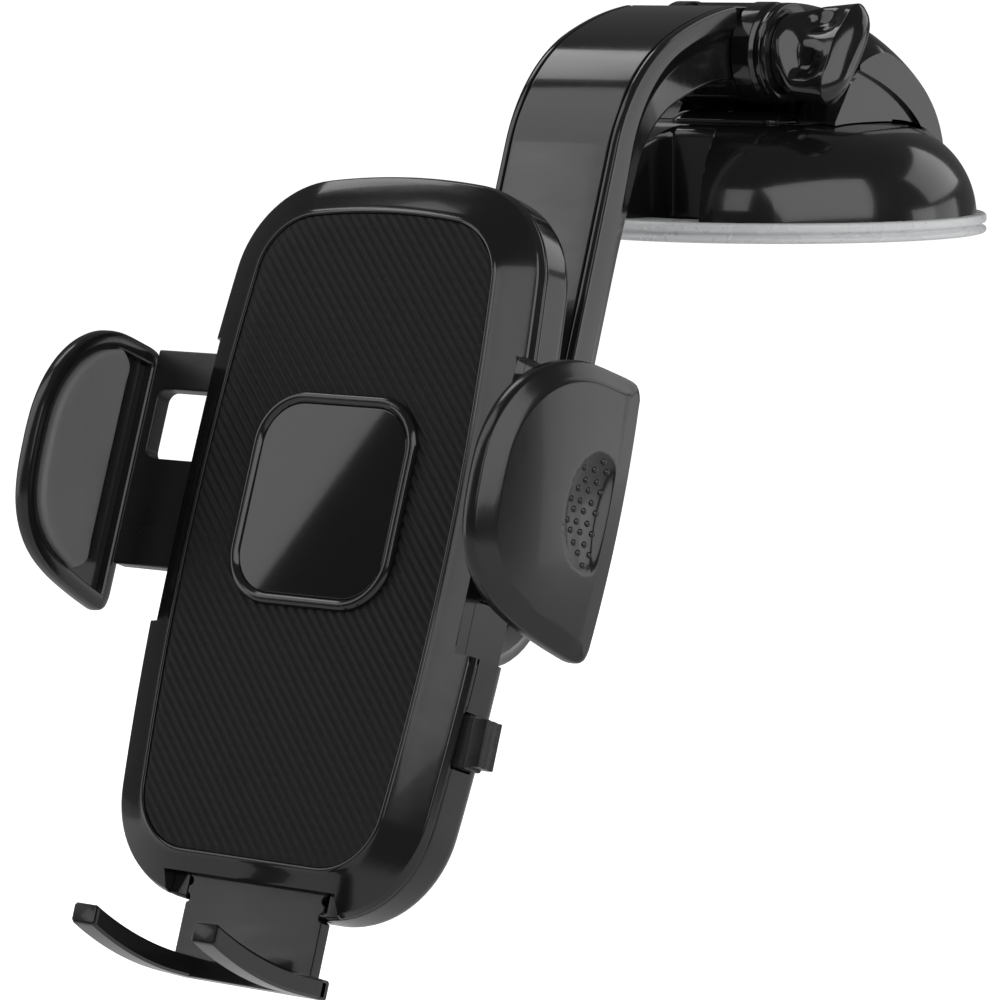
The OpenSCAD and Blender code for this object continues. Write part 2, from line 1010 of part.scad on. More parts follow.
module release_button() {
    color(black)
        cradle() {
            box(30.4, 35.3, 4.75, 9.5, btn_low, btn_top);
            difference() {
                box(35.3, 37.8, 4.8, 9.1, btn_low + 0.5, btn_top - 0.5);
                box(37.2, 39, 5.7, 6.1, btn_low - 1, btn_top + 1);
                box(37.2, 39, 7.6, 8, btn_low - 1, btn_top + 1);
            }
            box(18.6, 30.4, 6.4, 8.8, btn_mid - 1.6, btn_mid + 1.6);
        }
}

module detent_springs() {
    color(metal)
        cradle() {
            detent(1);
            detent(-1);
        }
}

module detent(s) {
    depth(4.9, 6.6)
        polygon([[s * 15.8, -52], [s * 15.8, -36], [s * 15.4, -36], [s * 15.4, -42.6],
            [s * 14.6, -44], [s * 15.4, -45.4], [s * 15.4, -52]]);
}

// ---------- support tray ----------

module support_tray() {
    color(black)
        cradle() {
            difference() {
                box(-tray_half, tray_half, tray_y0, tray_y1, tray_low, -36);
                for (k = [0 : 3], s = [-1, 1])
                    translate([s * tray_half, 0, -44 - 4.4 * k])
                        depth(tray_y0 - 1, tray_y1 + 1)
                            rotate(45)
                                square(1.1, center = true);
            }
            difference() {
                box(-hook_out, hook_out, tray_y1, 9.2, tray_low, hook_top);
                box(-hook_out - 1, -tray_half, 0, tray_y1, -80, -60);
            }
            hook(hook_in);
            hook(-hook_out);
        }
}

module hook(x0) {
    along_x(x0, x0 + hook_out - hook_in) {
        translate([2, tray_low])
            square([7.2, hook_top - tray_low]);
        intersection() {
            difference() {
                translate([2, hook_top + hook_r])
                    circle(r = hook_r + hook_top - tray_low, $fn = 240);
                translate([2, hook_top + hook_r])
                    circle(r = hook_r, $fn = 240);
            }
            polygon([[2.05, tray_low - 1], [2.05, hook_top + 2], [-20.4, hook_top + 6.5],
                [-22.4, hook_top + 0.5], [-18, tray_low - 1]]);
        }
    }
}

suction_ring();
cup_membrane();
base_housing();
draw_stud();
stud_spring();
draw_rocker();
rocker_pin();
lever_pin();
lock_lever();
pivot_bracket();
bracket_screws();
pivot_bolt();
friction_washers();
knob_washer();
wing_knob();
arm_body();
arm_cover();
ball_stud();
stud_screw();
seat_rear();
seat_front();
ball_socket();
socket_screws();
lock_nut();
rear_casing();
case_screws();
front_bezel();
front_pad();
badge_ring();
badge_plate();
left_arm();
left_jaw();
left_jaw_pad();
right_arm();
right_jaw();
right_jaw_pad();
pinion();
torsion_spring();
ratchet_pawl();
pawl_spring();
release_button();
detent_springs();
support_tray();
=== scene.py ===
import json
import math

import bmesh
import bpy
from mathutils import Matrix, Vector


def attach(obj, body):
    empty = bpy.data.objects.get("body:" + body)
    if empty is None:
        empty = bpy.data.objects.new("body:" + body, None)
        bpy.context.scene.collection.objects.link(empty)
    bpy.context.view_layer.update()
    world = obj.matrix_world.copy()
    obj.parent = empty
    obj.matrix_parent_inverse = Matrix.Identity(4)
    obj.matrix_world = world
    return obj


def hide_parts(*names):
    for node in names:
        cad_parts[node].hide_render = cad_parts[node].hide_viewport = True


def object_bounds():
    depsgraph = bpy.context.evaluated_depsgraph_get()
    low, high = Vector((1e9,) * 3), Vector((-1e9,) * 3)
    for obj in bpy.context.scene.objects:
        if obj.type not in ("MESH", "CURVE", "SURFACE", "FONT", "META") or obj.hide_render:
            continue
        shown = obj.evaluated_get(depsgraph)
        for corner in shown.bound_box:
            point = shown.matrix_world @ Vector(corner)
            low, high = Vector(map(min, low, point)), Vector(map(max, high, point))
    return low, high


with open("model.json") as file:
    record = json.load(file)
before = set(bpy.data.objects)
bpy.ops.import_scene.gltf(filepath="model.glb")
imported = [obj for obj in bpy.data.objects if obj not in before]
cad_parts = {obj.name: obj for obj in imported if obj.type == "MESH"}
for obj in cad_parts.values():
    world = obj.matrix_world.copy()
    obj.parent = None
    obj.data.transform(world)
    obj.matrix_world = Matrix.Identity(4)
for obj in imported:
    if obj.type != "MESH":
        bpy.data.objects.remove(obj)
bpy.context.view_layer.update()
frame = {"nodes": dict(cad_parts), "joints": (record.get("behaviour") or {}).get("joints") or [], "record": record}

MM = 0.001
JOINT = {j["name"]: j for j in frame["joints"]}

# -------- frames
roll_axis = Vector(JOINT["cradle_roll"]["axis"])
ball = Vector(JOINT["cradle_roll"]["pos_m"])
LEAN = math.atan2(-roll_axis.z, roll_axis.y)
TURN = Matrix.Rotation(-LEAN, 4, "X")
CRADLE = Matrix.Translation(ball - TURN @ Vector((0, 28.5 * MM, 4 * MM))) @ TURN
WORLD = Matrix.Identity(4)
pivot = Vector(JOINT["arm_tilt"]["pos_m"]) / MM
lever_pin = Vector(JOINT["lever_hinge"]["pos_m"]) / MM


def lerp(a, b, t):
    return a + (b - a) * t


def smoothstep(a, b, x):
    t = min(1.0, max(0.0, (x - a) / (b - a)))
    return t * t * (3 - 2 * t)


def smin(a, b, k):
    h = max(k - abs(a - b), 0.0) / k
    return min(a, b) - h * h * k * 0.25


# -------- mesh building
def about(axis, centre, r, d, turn):
    """A point at a radius and an angle about an axis, at d along it."""
    p, q = r * math.cos(turn), r * math.sin(turn)
    if axis == "x":
        return d, centre[1] + p, centre[2] + q
    if axis == "y":
        return centre[0] + p, d, centre[2] + q
    return centre[0] + p, centre[1] + q, d


def along_x(p, q, d):
    return d, p, q


def along_y(p, q, d):
    return p, d, q


class Build:
    """Collects points in millimetres and faces, and turns them into one object."""

    def __init__(self):
        self.v = []
        self.f = []

    def add(self, pts):
        n = len(self.v)
        self.v.extend([tuple(p) for p in pts])
        return list(range(n, n + len(pts)))

    def bridge(self, a, b, closed=True):
        n = len(a)
        for i in range(n if closed else n - 1):
            j = (i + 1) % n
            self.f.append((a[i], a[j], b[j], b[i]))

    def loft(self, rings, closed=True, cap0=True, cap1=True, around=False):
        ids = [self.add(r) for r in rings]
        for a, b in zip(ids, ids[1:]):
            self.bridge(a, b, closed)
        if around:
            self.bridge(ids[-1], ids[0], closed)
        elif closed:
            if cap0:
                self.f.append(tuple(reversed(ids[0])))
            if cap1:
                self.f.append(tuple(ids[-1]))
        return ids

    def prism(self, poly, place, d0, d1):
        """A drawing extruded between two depths; place(p, q, d) gives a point."""
        self.loft([[place(p, q, d) for p, q in poly] for d in (d0, d1)])

    def box(self, x0, x1, y0, y1, z0, z1):
        r = [(x0, y0), (x1, y0), (x1, y1), (x0, y1)]
        self.loft([[(x, y, z) for x, y in r] for z in (z0, z1)])

    def tube(self, axis, centre, r0, r1, a, b, n=48):
        """A closed cylinder or cone along x, y or z."""
        self.loft([[about(axis, centre, r, d, 2 * math.pi * k / n) for k in range(n)]
                   for r, d in ((r0, a), (r1, b))])

    def turned(self, axis, centre, profile, n=96):
        """A turned solid: profile is a list of (radius, distance along the axis)."""
        self.loft([[about(axis, centre, r, d, 2 * math.pi * k / n) for r, d in profile]
                   for k in range(n)], around=True)

    def mesh(self, name, matrix=WORLD):
        me = bpy.data.meshes.new(name)
        me.from_pydata([matrix @ (Vector(p) * MM) for p in self.v], [], self.f)
        bm = bmesh.new()
        bm.from_mesh(me)
        bmesh.ops.remove_doubles(bm, verts=bm.verts, dist=2e-6)
        bmesh.ops.dissolve_degenerate(bm, edges=bm.edges, dist=1e-6)
        bmesh.ops.recalc_face_normals(bm, faces=bm.faces)
        bm.to_mesh(me)
        bm.free()
        o = bpy.data.objects.new(name, me)
        bpy.context.scene.collection.objects.link(o)
        return o


def bake(o):
    """Applies an object's modifiers to its mesh."""
    bpy.context.view_layer.update()
    dg = bpy.context.evaluated_depsgraph_get()
    me = bpy.data.meshes.new_from_object(o.evaluated_get(dg))
    o.modifiers.clear()
    o.data = me
    return o


def boolean(o, tools, how="DIFFERENCE"):
    for t in tools:
        m = o.modifiers.new("b", "BOOLEAN")
        m.operation = how
        m.solver = "EXACT"
        m.object = t
    bake(o)
    for t in tools:
        bpy.data.objects.remove(t)
    return o


def bevel(o, width, segments=2, angle=32):
    m = o.modifiers.new("edge", "BEVEL")
    m.width = width * MM
    m.segments = segments
    m.limit_method = "ANGLE"
    m.angle_limit = math.radians(angle)
    m.harden_normals = False
    m.miter_outer = "MITER_ARC"
    return bake(o)


def piece(o, body, mat, nodes=(), angle=38):
    """Gives a finished object its material and body, and hides the nodes it stands for."""
    o.data.materials.clear()
    o.data.materials.append(mat)
    for p in o.data.polygons:
        p.use_smooth = True
        p.material_index = 0
    o.data.set_sharp_from_angle(angle=math.radians(angle))
    w = o.modifiers.new("flat", "WEIGHTED_NORMAL")
    w.keep_sharp = True
    w.weight = 70
    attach(o, body)
    if nodes:
        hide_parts(*nodes)
    return o


# -------- materials
BREAK_PITCH = 1.94  # between the breaks across the pad's ribs, in millimetres


def new_mat(name):
    m = bpy.data.materials.new(name)
    m.use_nodes = True
    return m, m.node_tree.nodes, m.node_tree.links


def put(node, values):
    """Sets a node's inputs by their names or places."""
    for socket, value in values.items():
        node.inputs[socket].default_value = value


def noise(n, l, where, scale, detail):
    """A noise texture on a coordinate socket."""
    t = n.new("ShaderNodeTexNoise")
    put(t, {"Scale": scale, "Detail": detail})
    l.new(where, t.inputs["Vector"])
    return t.outputs["Fac"]


def object_place(n):
    return n.new("ShaderNodeTexCoord").outputs["Object"]


def blend(n, l, amount, dark, light):
    """A colour between two, by an amount from 0 to 1."""
    mix = n.new("ShaderNodeMix")
    mix.data_type = "RGBA"
    put(mix, {6: (*dark, 1), 7: (*light, 1)})
    l.new(amount, mix.inputs[0])
    return mix.outputs[2]


def ramp(n, l, value, a, b, low, high):
    """Maps a value from the range a to b onto low to high."""
    r = n.new("ShaderNodeMapRange")
    put(r, {"From Min": a, "From Max": b, "To Min": low, "To Max": high})
    l.new(value, r.inputs["Value"])
    return r.outputs["Result"]


def bumps(n, l, height, strength, distance, under=None):
    """Turns a height into a normal, on top of another one if given."""
    b = n.new("ShaderNodeBump")
    put(b, {"Strength": strength, "Distance": distance})
    l.new(height, b.inputs["Height"])
    if under:
        l.new(under, b.inputs["Normal"])
    return b.outputs["Normal"]


def plastic(name, dark, light, rough, spread, coat=0.0, grain=0.02, grain_scale=900.0,
            spec=0.5):
    """Moulded plastic: cloudy tone, uneven gloss, fine grain and faint rub marks."""
    m, n, l = new_mat(name)
    b = n["Principled BSDF"]
    here = object_place(n)
    cloud = noise(n, l, here, 45.0, 5.0)
    tone = ramp(n, l, cloud, 0.35, 0.7, 0.0, 1.0)
    l.new(blend(n, l, tone, dark, light), b.inputs["Base Color"])
    # uneven gloss, with long faint rub marks
    stretch = n.new("ShaderNodeMapping")
    put(stretch, {"Scale": (90.0, 620.0, 240.0), "Rotation": (0.3, 0.5, 0.7)})
    l.new(here, stretch.inputs["Vector"])
    add = n.new("ShaderNodeMath")
    add.operation = "ADD"
    l.new(cloud, add.inputs[0])
    l.new(noise(n, l, stretch.outputs["Vector"], 1.0, 6.0), add.inputs[1])
    gloss = ramp(n, l, add.outputs["Value"], 0.7, 1.3, max(0.02, rough - spread), rough + spread)
    l.new(gloss, b.inputs["Roughness"])
    fine = noise(n, l, here, grain_scale, 3.0)
    l.new(bumps(n, l, fine, grain, 0.0002), b.inputs["Normal"])
    put(b, {"Coat Weight": coat, "Coat Roughness": 0.04, "Specular IOR Level": spec})
    return m


def ribbed(name):
    """The pad's dull rubber; the ribs are real, the cross breaks in them are bump."""
    m, n, l = new_mat(name)
    b = n["Principled BSDF"]
    here = object_place(n)
    turn = n.new("ShaderNodeMapping")
    put(turn, {"Rotation": (LEAN, 0, 0)})
    l.new(here, turn.inputs["Vector"])
    wave = n.new("ShaderNodeTexWave")
    wave.wave_type = "BANDS"
    wave.bands_direction = "Z"
    put(wave, {"Scale": 2 * math.pi / 20.0 / (BREAK_PITCH * MM), "Distortion": 0.4,
               "Detail": 1.0})
    l.new(turn.outputs["Vector"], wave.inputs["Vector"])
    rows = wave.outputs["Fac"]
    fine = noise(n, l, here, 2600.0, 4.0)
    l.new(blend(n, l, rows, (0.008, 0.008, 0.0083), (0.0095, 0.0095, 0.0099)),
          b.inputs["Base Color"])
    l.new(ramp(n, l, fine, 0.3, 0.7, 0.5, 0.68), b.inputs["Roughness"])
    low = bumps(n, l, rows, 0.08, 0.00025)
    l.new(bumps(n, l, fine, 0.25, 0.00008, low), b.inputs["Normal"])
    put(b, {"Specular IOR Level": 0.3})
    return m


def grainy(name, dark, light, scale, detail, rough, strength, distance):
    """A material whose tone, gloss and bump all follow one noise."""
    m, n, l = new_mat(name)
    b = n["Principled BSDF"]
    here = object_place(n)
    cloud = noise(n, l, here, scale, detail)
    l.new(blend(n, l, cloud, dark, light), b.inputs["Base Color"])
    l.new(ramp(n, l, cloud, 0.3, 0.7, *rough), b.inputs["Roughness"])
    l.new(bumps(n, l, cloud, strength, distance), b.inputs["Normal"])
    return m, b


def gel_mat(name):
    """Clear soft gel: cloudy, slightly milky and finely pitted."""
    m, b = grainy(name, (0.80, 0.81, 0.82), (0.9, 0.91, 0.92), 220.0, 4.0, (0.22, 0.36),
                  0.12, 0.0002)
    put(b, {"Transmission Weight": 0.12, "IOR": 1.42})
    return m


def metal(name):
    """Zinc-plated steel with a cloudy gloss."""
    m, b = grainy(name, (0.42, 0.42, 0.43), (0.6, 0.6, 0.61), 1500.0, 5.0, (0.25, 0.45),
                  0.1, 0.0001)
    put(b, {"Metallic": 1.0})
    return m


GLOSS = plastic("gloss_plastic", (0.0075, 0.0075, 0.008), (0.011, 0.011, 0.0115),
                0.14, 0.035, coat=0.35, grain=0.015)
MIRROR = plastic("badge_gloss", (0.003, 0.003, 0.0032), (0.005, 0.005, 0.0052),
                 0.022, 0.004, coat=0.5, grain=0.001)
SATIN = plastic("satin_plastic", (0.010, 0.010, 0.0105), (0.015, 0.015, 0.0155),
                0.3, 0.06, grain=0.06, grain_scale=1800.0)
JAW_BLACK = plastic("jaw_plastic", (0.009, 0.009, 0.0095), (0.011, 0.011, 0.0115),
                    0.2, 0.02, coat=0.15, grain=0.012, grain_scale=2200.0)
RUBBER = plastic("grey_rubber", (0.17, 0.17, 0.172), (0.2, 0.2, 0.202),
                 0.62, 0.08, grain=0.35, grain_scale=2600.0, spec=0.35)
DARK_RUBBER = plastic("dark_rubber", (0.02, 0.02, 0.021), (0.03, 0.03, 0.031),
                      0.7, 0.08, grain=0.3, grain_scale=2200.0, spec=0.35)
NYLON = plastic("nylon", (0.3, 0.3, 0.29), (0.38, 0.38, 0.37), 0.45, 0.08, grain=0.1)
PAD = ribbed("ribbed_rubber")
GEL = gel_mat("clear_gel")
STEEL = metal("plated_steel")
SLOT_MAT = {
    "gloss_black": GLOSS, "satin_black": SATIN, "ribbed_pad": PAD, "rubber": DARK_RUBBER,
    "gel": GEL, "nylon": NYLON, "steel": STEEL,
}

# -------- cradle outline
CORNER = 10.5
HALF, SIDE_R, SIDE_V = 26.1, 464.0, 3.0
TOP, TOP_R, LOW = 58.7, 118.0, -49.2


def outline_frame(n_side=44, n_top=28, n_corner=18):
    """Points of the shrunk face outline with their outward directions, anticlockwise."""
    rs, cs = SIDE_R - CORNER, HALF - SIDE_R
    rt, ct = TOP_R - CORNER, TOP - TOP_R
    low = LOW + CORNER
    v = TOP - CORNER
    for _ in range(60):
        u = cs + math.sqrt(rs * rs - (v - SIDE_V) ** 2)
        v = ct + math.sqrt(rt * rt - u * u)
    top_u, top_v = u, v
    low_u = cs + math.sqrt(rs * rs - (low - SIDE_V) ** 2)
    a0 = math.atan2(low - SIDE_V, low_u - cs)
    a1 = math.atan2(top_v - SIDE_V, top_u - cs)
    b0 = math.atan2(top_v - ct, top_u)
    out = []

    def arc(cu, cv, r, s, e, n):
        for k in range(n):
            a = lerp(s, e, k / n)
            out.append((cu + r * math.cos(a), cv + r * math.sin(a), math.cos(a), math.sin(a)))

    arc(cs, SIDE_V, rs, a0, a1, n_side)
    arc(top_u, top_v, 0, a1, b0, n_corner)
    arc(0, ct, rt, b0, math.pi - b0, n_top)
    arc(-top_u, top_v, 0, math.pi - b0, math.pi - a1, n_corner)
    arc(-cs, SIDE_V, rs, math.pi - a1, math.pi - a0, n_side)
    arc(-low_u, low, 0, math.pi - a0, 1.5 * math.pi, n_corner)
    for k in range(n_top):
        out.append((lerp(-low_u, low_u, k / n_top), low, 0.0, -1.0))
    arc(low_u, low, 0, 1.5 * math.pi, 2 * math.pi + a0, n_corner)
    return out


FACE = outline_frame()


def face_ring(grow, y):
    d = CORNER + grow
    return [(u + d * nu, y, v + d * nv) for u, v, nu, nv in FACE]


def cutter(*boxes, matrix=CRADLE):
    out = []
    for b in boxes:
        m = Build()
        m.box(*b)
        out.append(m.mesh("cut", matrix))
    return out


def round_cutter(axis, centre, r, a, b, matrix=WORLD, n=40):
    m = Build()
    m.tube(axis, centre, r, r, a, b, n)
    return m.mesh("cut", matrix)


# -------- front bezel
NOTCH, NOTCH_LOW, NOTCH_TOP = 30.8, -12.3, 36.6
BTN_LOW, BTN_TOP = -29.9, -21.2


def make_bezel():
    b = Build()
    profile = [(0.10, 1.25), (0.10, 0.12), (0.20, -0.06), (0.42, -0.14), (0.66, -0.10),
               (0.84, 0.06), (0.98, 0.22)]
    for k in range(1, 9):
        t = k / 8
        profile.append((lerp(0.98, 6.95, t), lerp(0.22, 2.92, t) - 0.10 * math.sin(math.pi * t)))
    profile += [(7.14, 3.06), (7.24, 3.24), (7.30, 3.45), (7.60, 4.10), (7.68, 4.32),
                (7.66, 4.50), (7.50, 4.60), (3.2, 4.60), (2.6, 4.2), (1.0, 1.6)]
    b.loft([face_ring(g, y) for g, y in profile], around=True)
    o = b.mesh("bezel", CRADLE)
    boolean(o, cutter((NOTCH, 60, -5, 9, NOTCH_LOW, NOTCH_TOP),
                      (-60, -NOTCH, -5, 9, NOTCH_LOW, NOTCH_TOP),
                      (-17.6, 17.6, -5, 9, -70, -52.8)))
    bevel(o, 0.18, 2, 40)
    return piece(o, "cradle", GLOSS, ["front_bezel"])


# -------- ribbed pad
RIB_PITCH, RIB_TURN = 1.455, math.radians(-46.9)


def make_pad():
    poly = [(p[0], p[2]) for p in face_ring(0.02, 0)]
    along = (math.cos(RIB_TURN), math.sin(RIB_TURN))
    across = (-along[1], along[0])
    s_of = [p[0] * across[0] + p[1] * across[1] for p in poly]
    t_of = [p[0] * along[0] + p[1] * along[1] for p in poly]
    lo, hi = min(s_of), max(s_of)
    per = 8
    step = RIB_PITCH / per
    b = Build()
    prev = None
    n = len(poly)
    k = 0
    cells = 30
    while lo + 0.02 + k * step < hi - 0.02:
        s = lo + 0.02 + k * step
        hits = []
        for i in range(n):
            s0, s1 = s_of[i], s_of[(i + 1) % n]
            if (s0 - s) * (s1 - s) < 0:
                f = (s - s0) / (s1 - s0)
                hits.append(lerp(t_of[i], t_of[(i + 1) % n], f))
        t0, t1 = min(hits), max(hits)
        c = 0.5 - 0.5 * math.cos(2 * math.pi * k / per)
        h = 0.30 * (1 - (1 - c) ** 1.6)
        row = []
        for j in range(cells + 1):
            t = lerp(t0, t1, j / cells)
            edge = min(1.0, min(t - t0, t1 - t, 3.0) / 0.7)
            u = s * across[0] + t * along[0]
            v = s * across[1] + t * along[1]
            row.append((u, 0.20 - h * edge, v))
        ids = b.add(row)
        if prev:
            b.bridge(prev, ids, closed=False)
        prev = ids
        k += 1
    # the pad's body under the ribs
    b.loft([face_ring(-0.02, 0.2), face_ring(-0.02, 1.2)], cap0=False)
    o = b.mesh("pad", CRADLE)
    return piece(o, "cradle", PAD, ["front_pad"], angle=70)


# -------- badge
def badge_ring_pts(grow, y, n=14):
    hw, hh, r, cv = 16.9, 18.15, 9.4, 9.9
    out = []
    for k, (su, sv) in enumerate(((1, 1), (-1, 1), (-1, -1), (1, -1))):
        for i in range(n + 1):
            a = math.pi / 2 * (k + i / n)
            out.append((su * (hw - r) + (r + grow) * math.cos(a), y,
                        cv + sv * (hh - r) + (r + grow) * math.sin(a)))
    return out


def make_badge():
    b = Build()
    profile = [(-0.10, 1.2), (-0.10, -0.05), (-0.28, -0.55), (-0.55, -0.95), (-0.9, -1.12),
               (-1.35, -1.12), (-1.65, -0.98), (-2.05, -0.45), (-2.12, -0.2), (-2.12, 0.8)]
    b.loft([badge_ring_pts(g, y) for g, y in profile], around=True)
    o = b.mesh("badge_rim", CRADLE)
    piece(o, "cradle", GLOSS, ["badge_ring"], angle=50)
    p = Build()
    steps = [(-2.16, 0.8), (-2.16, -0.34), (-2.24, -0.44), (-2.42, -0.5)]
    p.loft([badge_ring_pts(g, y) for g, y in steps])
    o = p.mesh("badge_face", CRADLE)
    piece(o, "cradle", MIRROR, ["badge_plate"])


# -------- rear casing
SCREWS = [(u, v) for u in (-21, 21) for v in (-41, 47)]


def make_casing():
    b = Build()
    outer = [(2.0, 4.72), (7.1, 4.72), (7.45, 4.78), (7.62, 4.95), (7.72, 5.3), (7.8, 10.0),
             (7.76, 10.7), (7.55, 11.4), (7.1, 12.1), (6.4, 12.9), (5.4, 13.8), (4.4, 14.5),
             (3.2, 15.1), (1.8, 15.45), (0.0, 15.6), (-4.0, 15.6), (-9.0, 15.6)]
    inner = [(-9.0, 13.4), (-4.0, 13.4), (0.5, 13.2), (2.0, 12.2)]
    ids = [b.add(face_ring(g, y)) for g, y in inner + outer]
    for p, q in zip(ids, ids[1:]):
        b.bridge(p, q)
    b.f.append(tuple(reversed(ids[0])))
    b.f.append(tuple(ids[-1]))
    o = b.mesh("casing", CRADLE)
    tools = cutter((NOTCH, 60, 3, 20, NOTCH_LOW, NOTCH_TOP),
                   (-60, -NOTCH, 3, 20, NOTCH_LOW, NOTCH_TOP),
                   (20, 60, 5.6, 9.8, -3.1, 35.2),
                   (-60, -20, 5.6, 9.8, -3.1, 35.2),
                   (26, 45, 3.7, 9.8, BTN_LOW - 0.3, BTN_TOP + 0.3),
                   (-14.5, 14.5, 3, 7.2, -75, -43))
    tools += [round_cutter("y", (u, 0, v), 2.4, 14.0, 18, CRADLE) for u, v in SCREWS]
    boolean(o, tools)
    bevel(o, 0.22, 2, 40)
    piece(o, "cradle", GLOSS, ["rear_casing"])
    # bosses and guide rails inside
    g = Build()
    for u, v in SCREWS:
        g.tube("y", (u, 0, v), 3, 2.8, 5, 13.5)
    g.tube("y", (0, 0, PINION_V), 1.5, 1.5, 5.6, 13.5)
    g.tube("y", (14, 0, -12), 1.2, 1.2, 5.8, 13.5)
    g.box(15.9, 17.6, 5, 13.5, -53.0, -34)
    g.box(-17.6, -15.9, 5, 13.5, -53.0, -34)
    o = g.mesh("casing_bosses", CRADLE)
    bevel(o, 0.15, 2, 40)
    piece(o, "cradle", SATIN)


# -------- clamp arms and jaws
PINION_V, PINION_R, PINION_TEETH = 21.95, 3.5, 10


def clamp_arm(side, name, node, body, mat):
    """The flat frame that carries a jaw; side is -1 for the left one."""
    b = Build()

    def at(u, v, d):
        return (side * u, d, v)

    # the window's rounded outer corners
    r = 1.8
    loop = [(16.0, 28.0)]
    for high, centre_v in ((1, 28.0 - r), (-1, 15.9 + r)):
        for k in range(7):
            a = math.pi / 2 * ((1 - k / 6) if high > 0 else -k / 6)
            loop.append((44.6 - r + r * math.cos(a), centre_v + r * math.sin(a)))
    loop += [(16.0, 15.9)]
    poly = [(16.0, -2.7), (46.6, -2.7), (46.6, 34.8), (16.0, 34.8)] + loop
    b.prism(poly, at, 6.0, 9.4)
    o = b.mesh(name, CRADLE)
    if side > 0:
        tools = []
        for k in range(8):
            t = Build()
            u = 18 + 1.7 * k
            t.prism([(u, -2.8), (u + 1.5, -2.8), (u, -1.8)], along_y, 5, 10)
            tools.append(t.mesh("cut", CRADLE))
        boolean(o, tools)
    bevel(o, 0.35, 3, 40)
    # the toothed strip; the two arms' strips face each other across the pinion
    g = Build()
    pitch = 2 * math.pi * PINION_R / PINION_TEETH
    low = 16.15 if side < 0 else 2 * PINION_V - 16.15
    sign = 1 if side < 0 else -1
    strip = [(20.0, low), (-2.8, low), (-2.8, low + sign * 1.45)]
    for k in range(-1, 9):
        c = k * pitch
        for dx, dy in ((-0.78, 0.0), (-0.31, 1.35), (0.31, 1.35), (0.78, 0.0)):
            strip.append((c + dx, low + sign * (1.45 + max(0.0, dy - 0.1))))
    strip.append((20.0, low + sign * 1.45))
    g.prism(strip, at, 6.0, 9.4)
    g.prism([(16.2, low - sign * 0.7), (20.0, low - sign * 0.7), (20.0, low + sign * 0.2),
             (16.2, low + sign * 0.2)], at, 6.0, 9.4)
    t = g.mesh(name + "_rack", CRADLE)
    piece(t, body, mat)
    return piece(o, body, mat, [node])


JAW_X, JAW_MID, JAW_R = 46.6, 12.0, 21.0


def smooth_loop(pts, per=6):
    """A closed Catmull-Rom curve through the points."""
    out = []
    n = len(pts)
    for i in range(n):
        p0, p1, p2, p3 = (pts[(i + k - 1) % n] for k in range(4))
        for k in range(per):
            t = k / per
            out.append(tuple(0.5 * (2 * b + (c - a) * t + (2 * a - 5 * b + 4 * c - d) * t * t
                                    + (3 * b - a - 3 * c + d) * t ** 3)
                             for a, b, c, d in zip(p0, p1, p2, p3)))
    return out


def with_normals(pts):
    """Adds the outward direction to each point of an anticlockwise loop."""
    n = len(pts)
    out = []
    for i in range(n):
        a, b = pts[i - 1], pts[(i + 1) % n]
        d = Vector((b[0] - a[0], b[1] - a[1]))
        if d.length < 1e-9:
            d = Vector((1, 0))
        d.normalize()
        out.append((pts[i][0], pts[i][1], d.y, -d.x))
    return out


def even_loop(pts, step):
    """Walks a closed loop and returns points at equal distances."""
    seg = [math.dist(pts[i], pts[(i + 1) % len(pts)]) for i in range(len(pts))]
    total = sum(seg)
    n = max(8, round(total / step))
    out = []
    i, gone = 0, 0.0
    for k in range(n):
        want = total * k / n
        while gone + seg[i] < want:
            gone += seg[i]
            i += 1
        t = (want - gone) / seg[i]
        a, b = pts[i], pts[(i + 1) % len(pts)]
        out.append((lerp(a[0], b[0], t), lerp(a[1], b[1], t)))
    return out


def jaw_outline():
    """The D outline of a jaw as (depth, height, outward depth, outward height)."""
    mid, r = JAW_MID + 2.1, JAW_R
    pts = [(9.5, -8.4), (9.6, -7.4), (9.6, 0.0), (9.6, 12.0), (9.6, 24.0), (9.6, 31.6),
           (9.3, 33.2), (8.3, 34.5), (6.8, 35.0), (2.5, 35.1)]
    for k in range(12):
        a = math.radians(lerp(90, 180, k / 11))
        pts.append((-1.5 + r * math.cos(a), mid + r * math.sin(a)))
    pts += [(-22.5, 11.5), (-22.2, 6.6), (-21.2, 2.2), (-19.3, -1.4), (-16.4, -4.4),
            (-12.6, -6.7), (-7.5, -8.5), (-1.5, -9.8), (4.0, -10.7), (7.2, -11.0),
            (8.8, -10.2)]
    loop = even_loop(smooth_loop(pts), 0.95)
    area2 = sum(a[0] * b[1] - b[0] * a[1] for a, b in zip(loop, loop[1:] + loop[:1]))
    if area2 < 0:
        loop.reverse()
    return with_normals(loop)


JAW = jaw_outline()
CREASE = 4.8
DISH = (1.2, 12.0, 6.6, 9.5)


def jaw_outer_x(y, v):
    """How far out the shell's outer face is at a depth and height."""
    du = (y + 4.0) / 24.0
    dv = (v - JAW_MID) / 27.0
    x = JAW_X + 5.4 - 1.9 * du * du - 1.5 * dv * dv
    if y > CREASE:
        x -= 0.17 * (y - CREASE)
    a = math.hypot((y - DISH[0]) / DISH[2], (v - DISH[1]) / DISH[3])
    if a < 1.0:
        x -= ((1.15 * (1 - a * a) * smoothstep(0.0, 0.12, 1 - a) + 0.12)
              * smoothstep(-0.1, 1.7, CREASE - y))
    return x


def toed(points, side):
    """The jaws toe in: their front edges stand closer together than their rear ones."""
    slope, straight_y, inward = 0.13, -7.5, 0.8
    return [(side * (x + slope * (y - straight_y) - inward), y, v) for x, y, v in points]


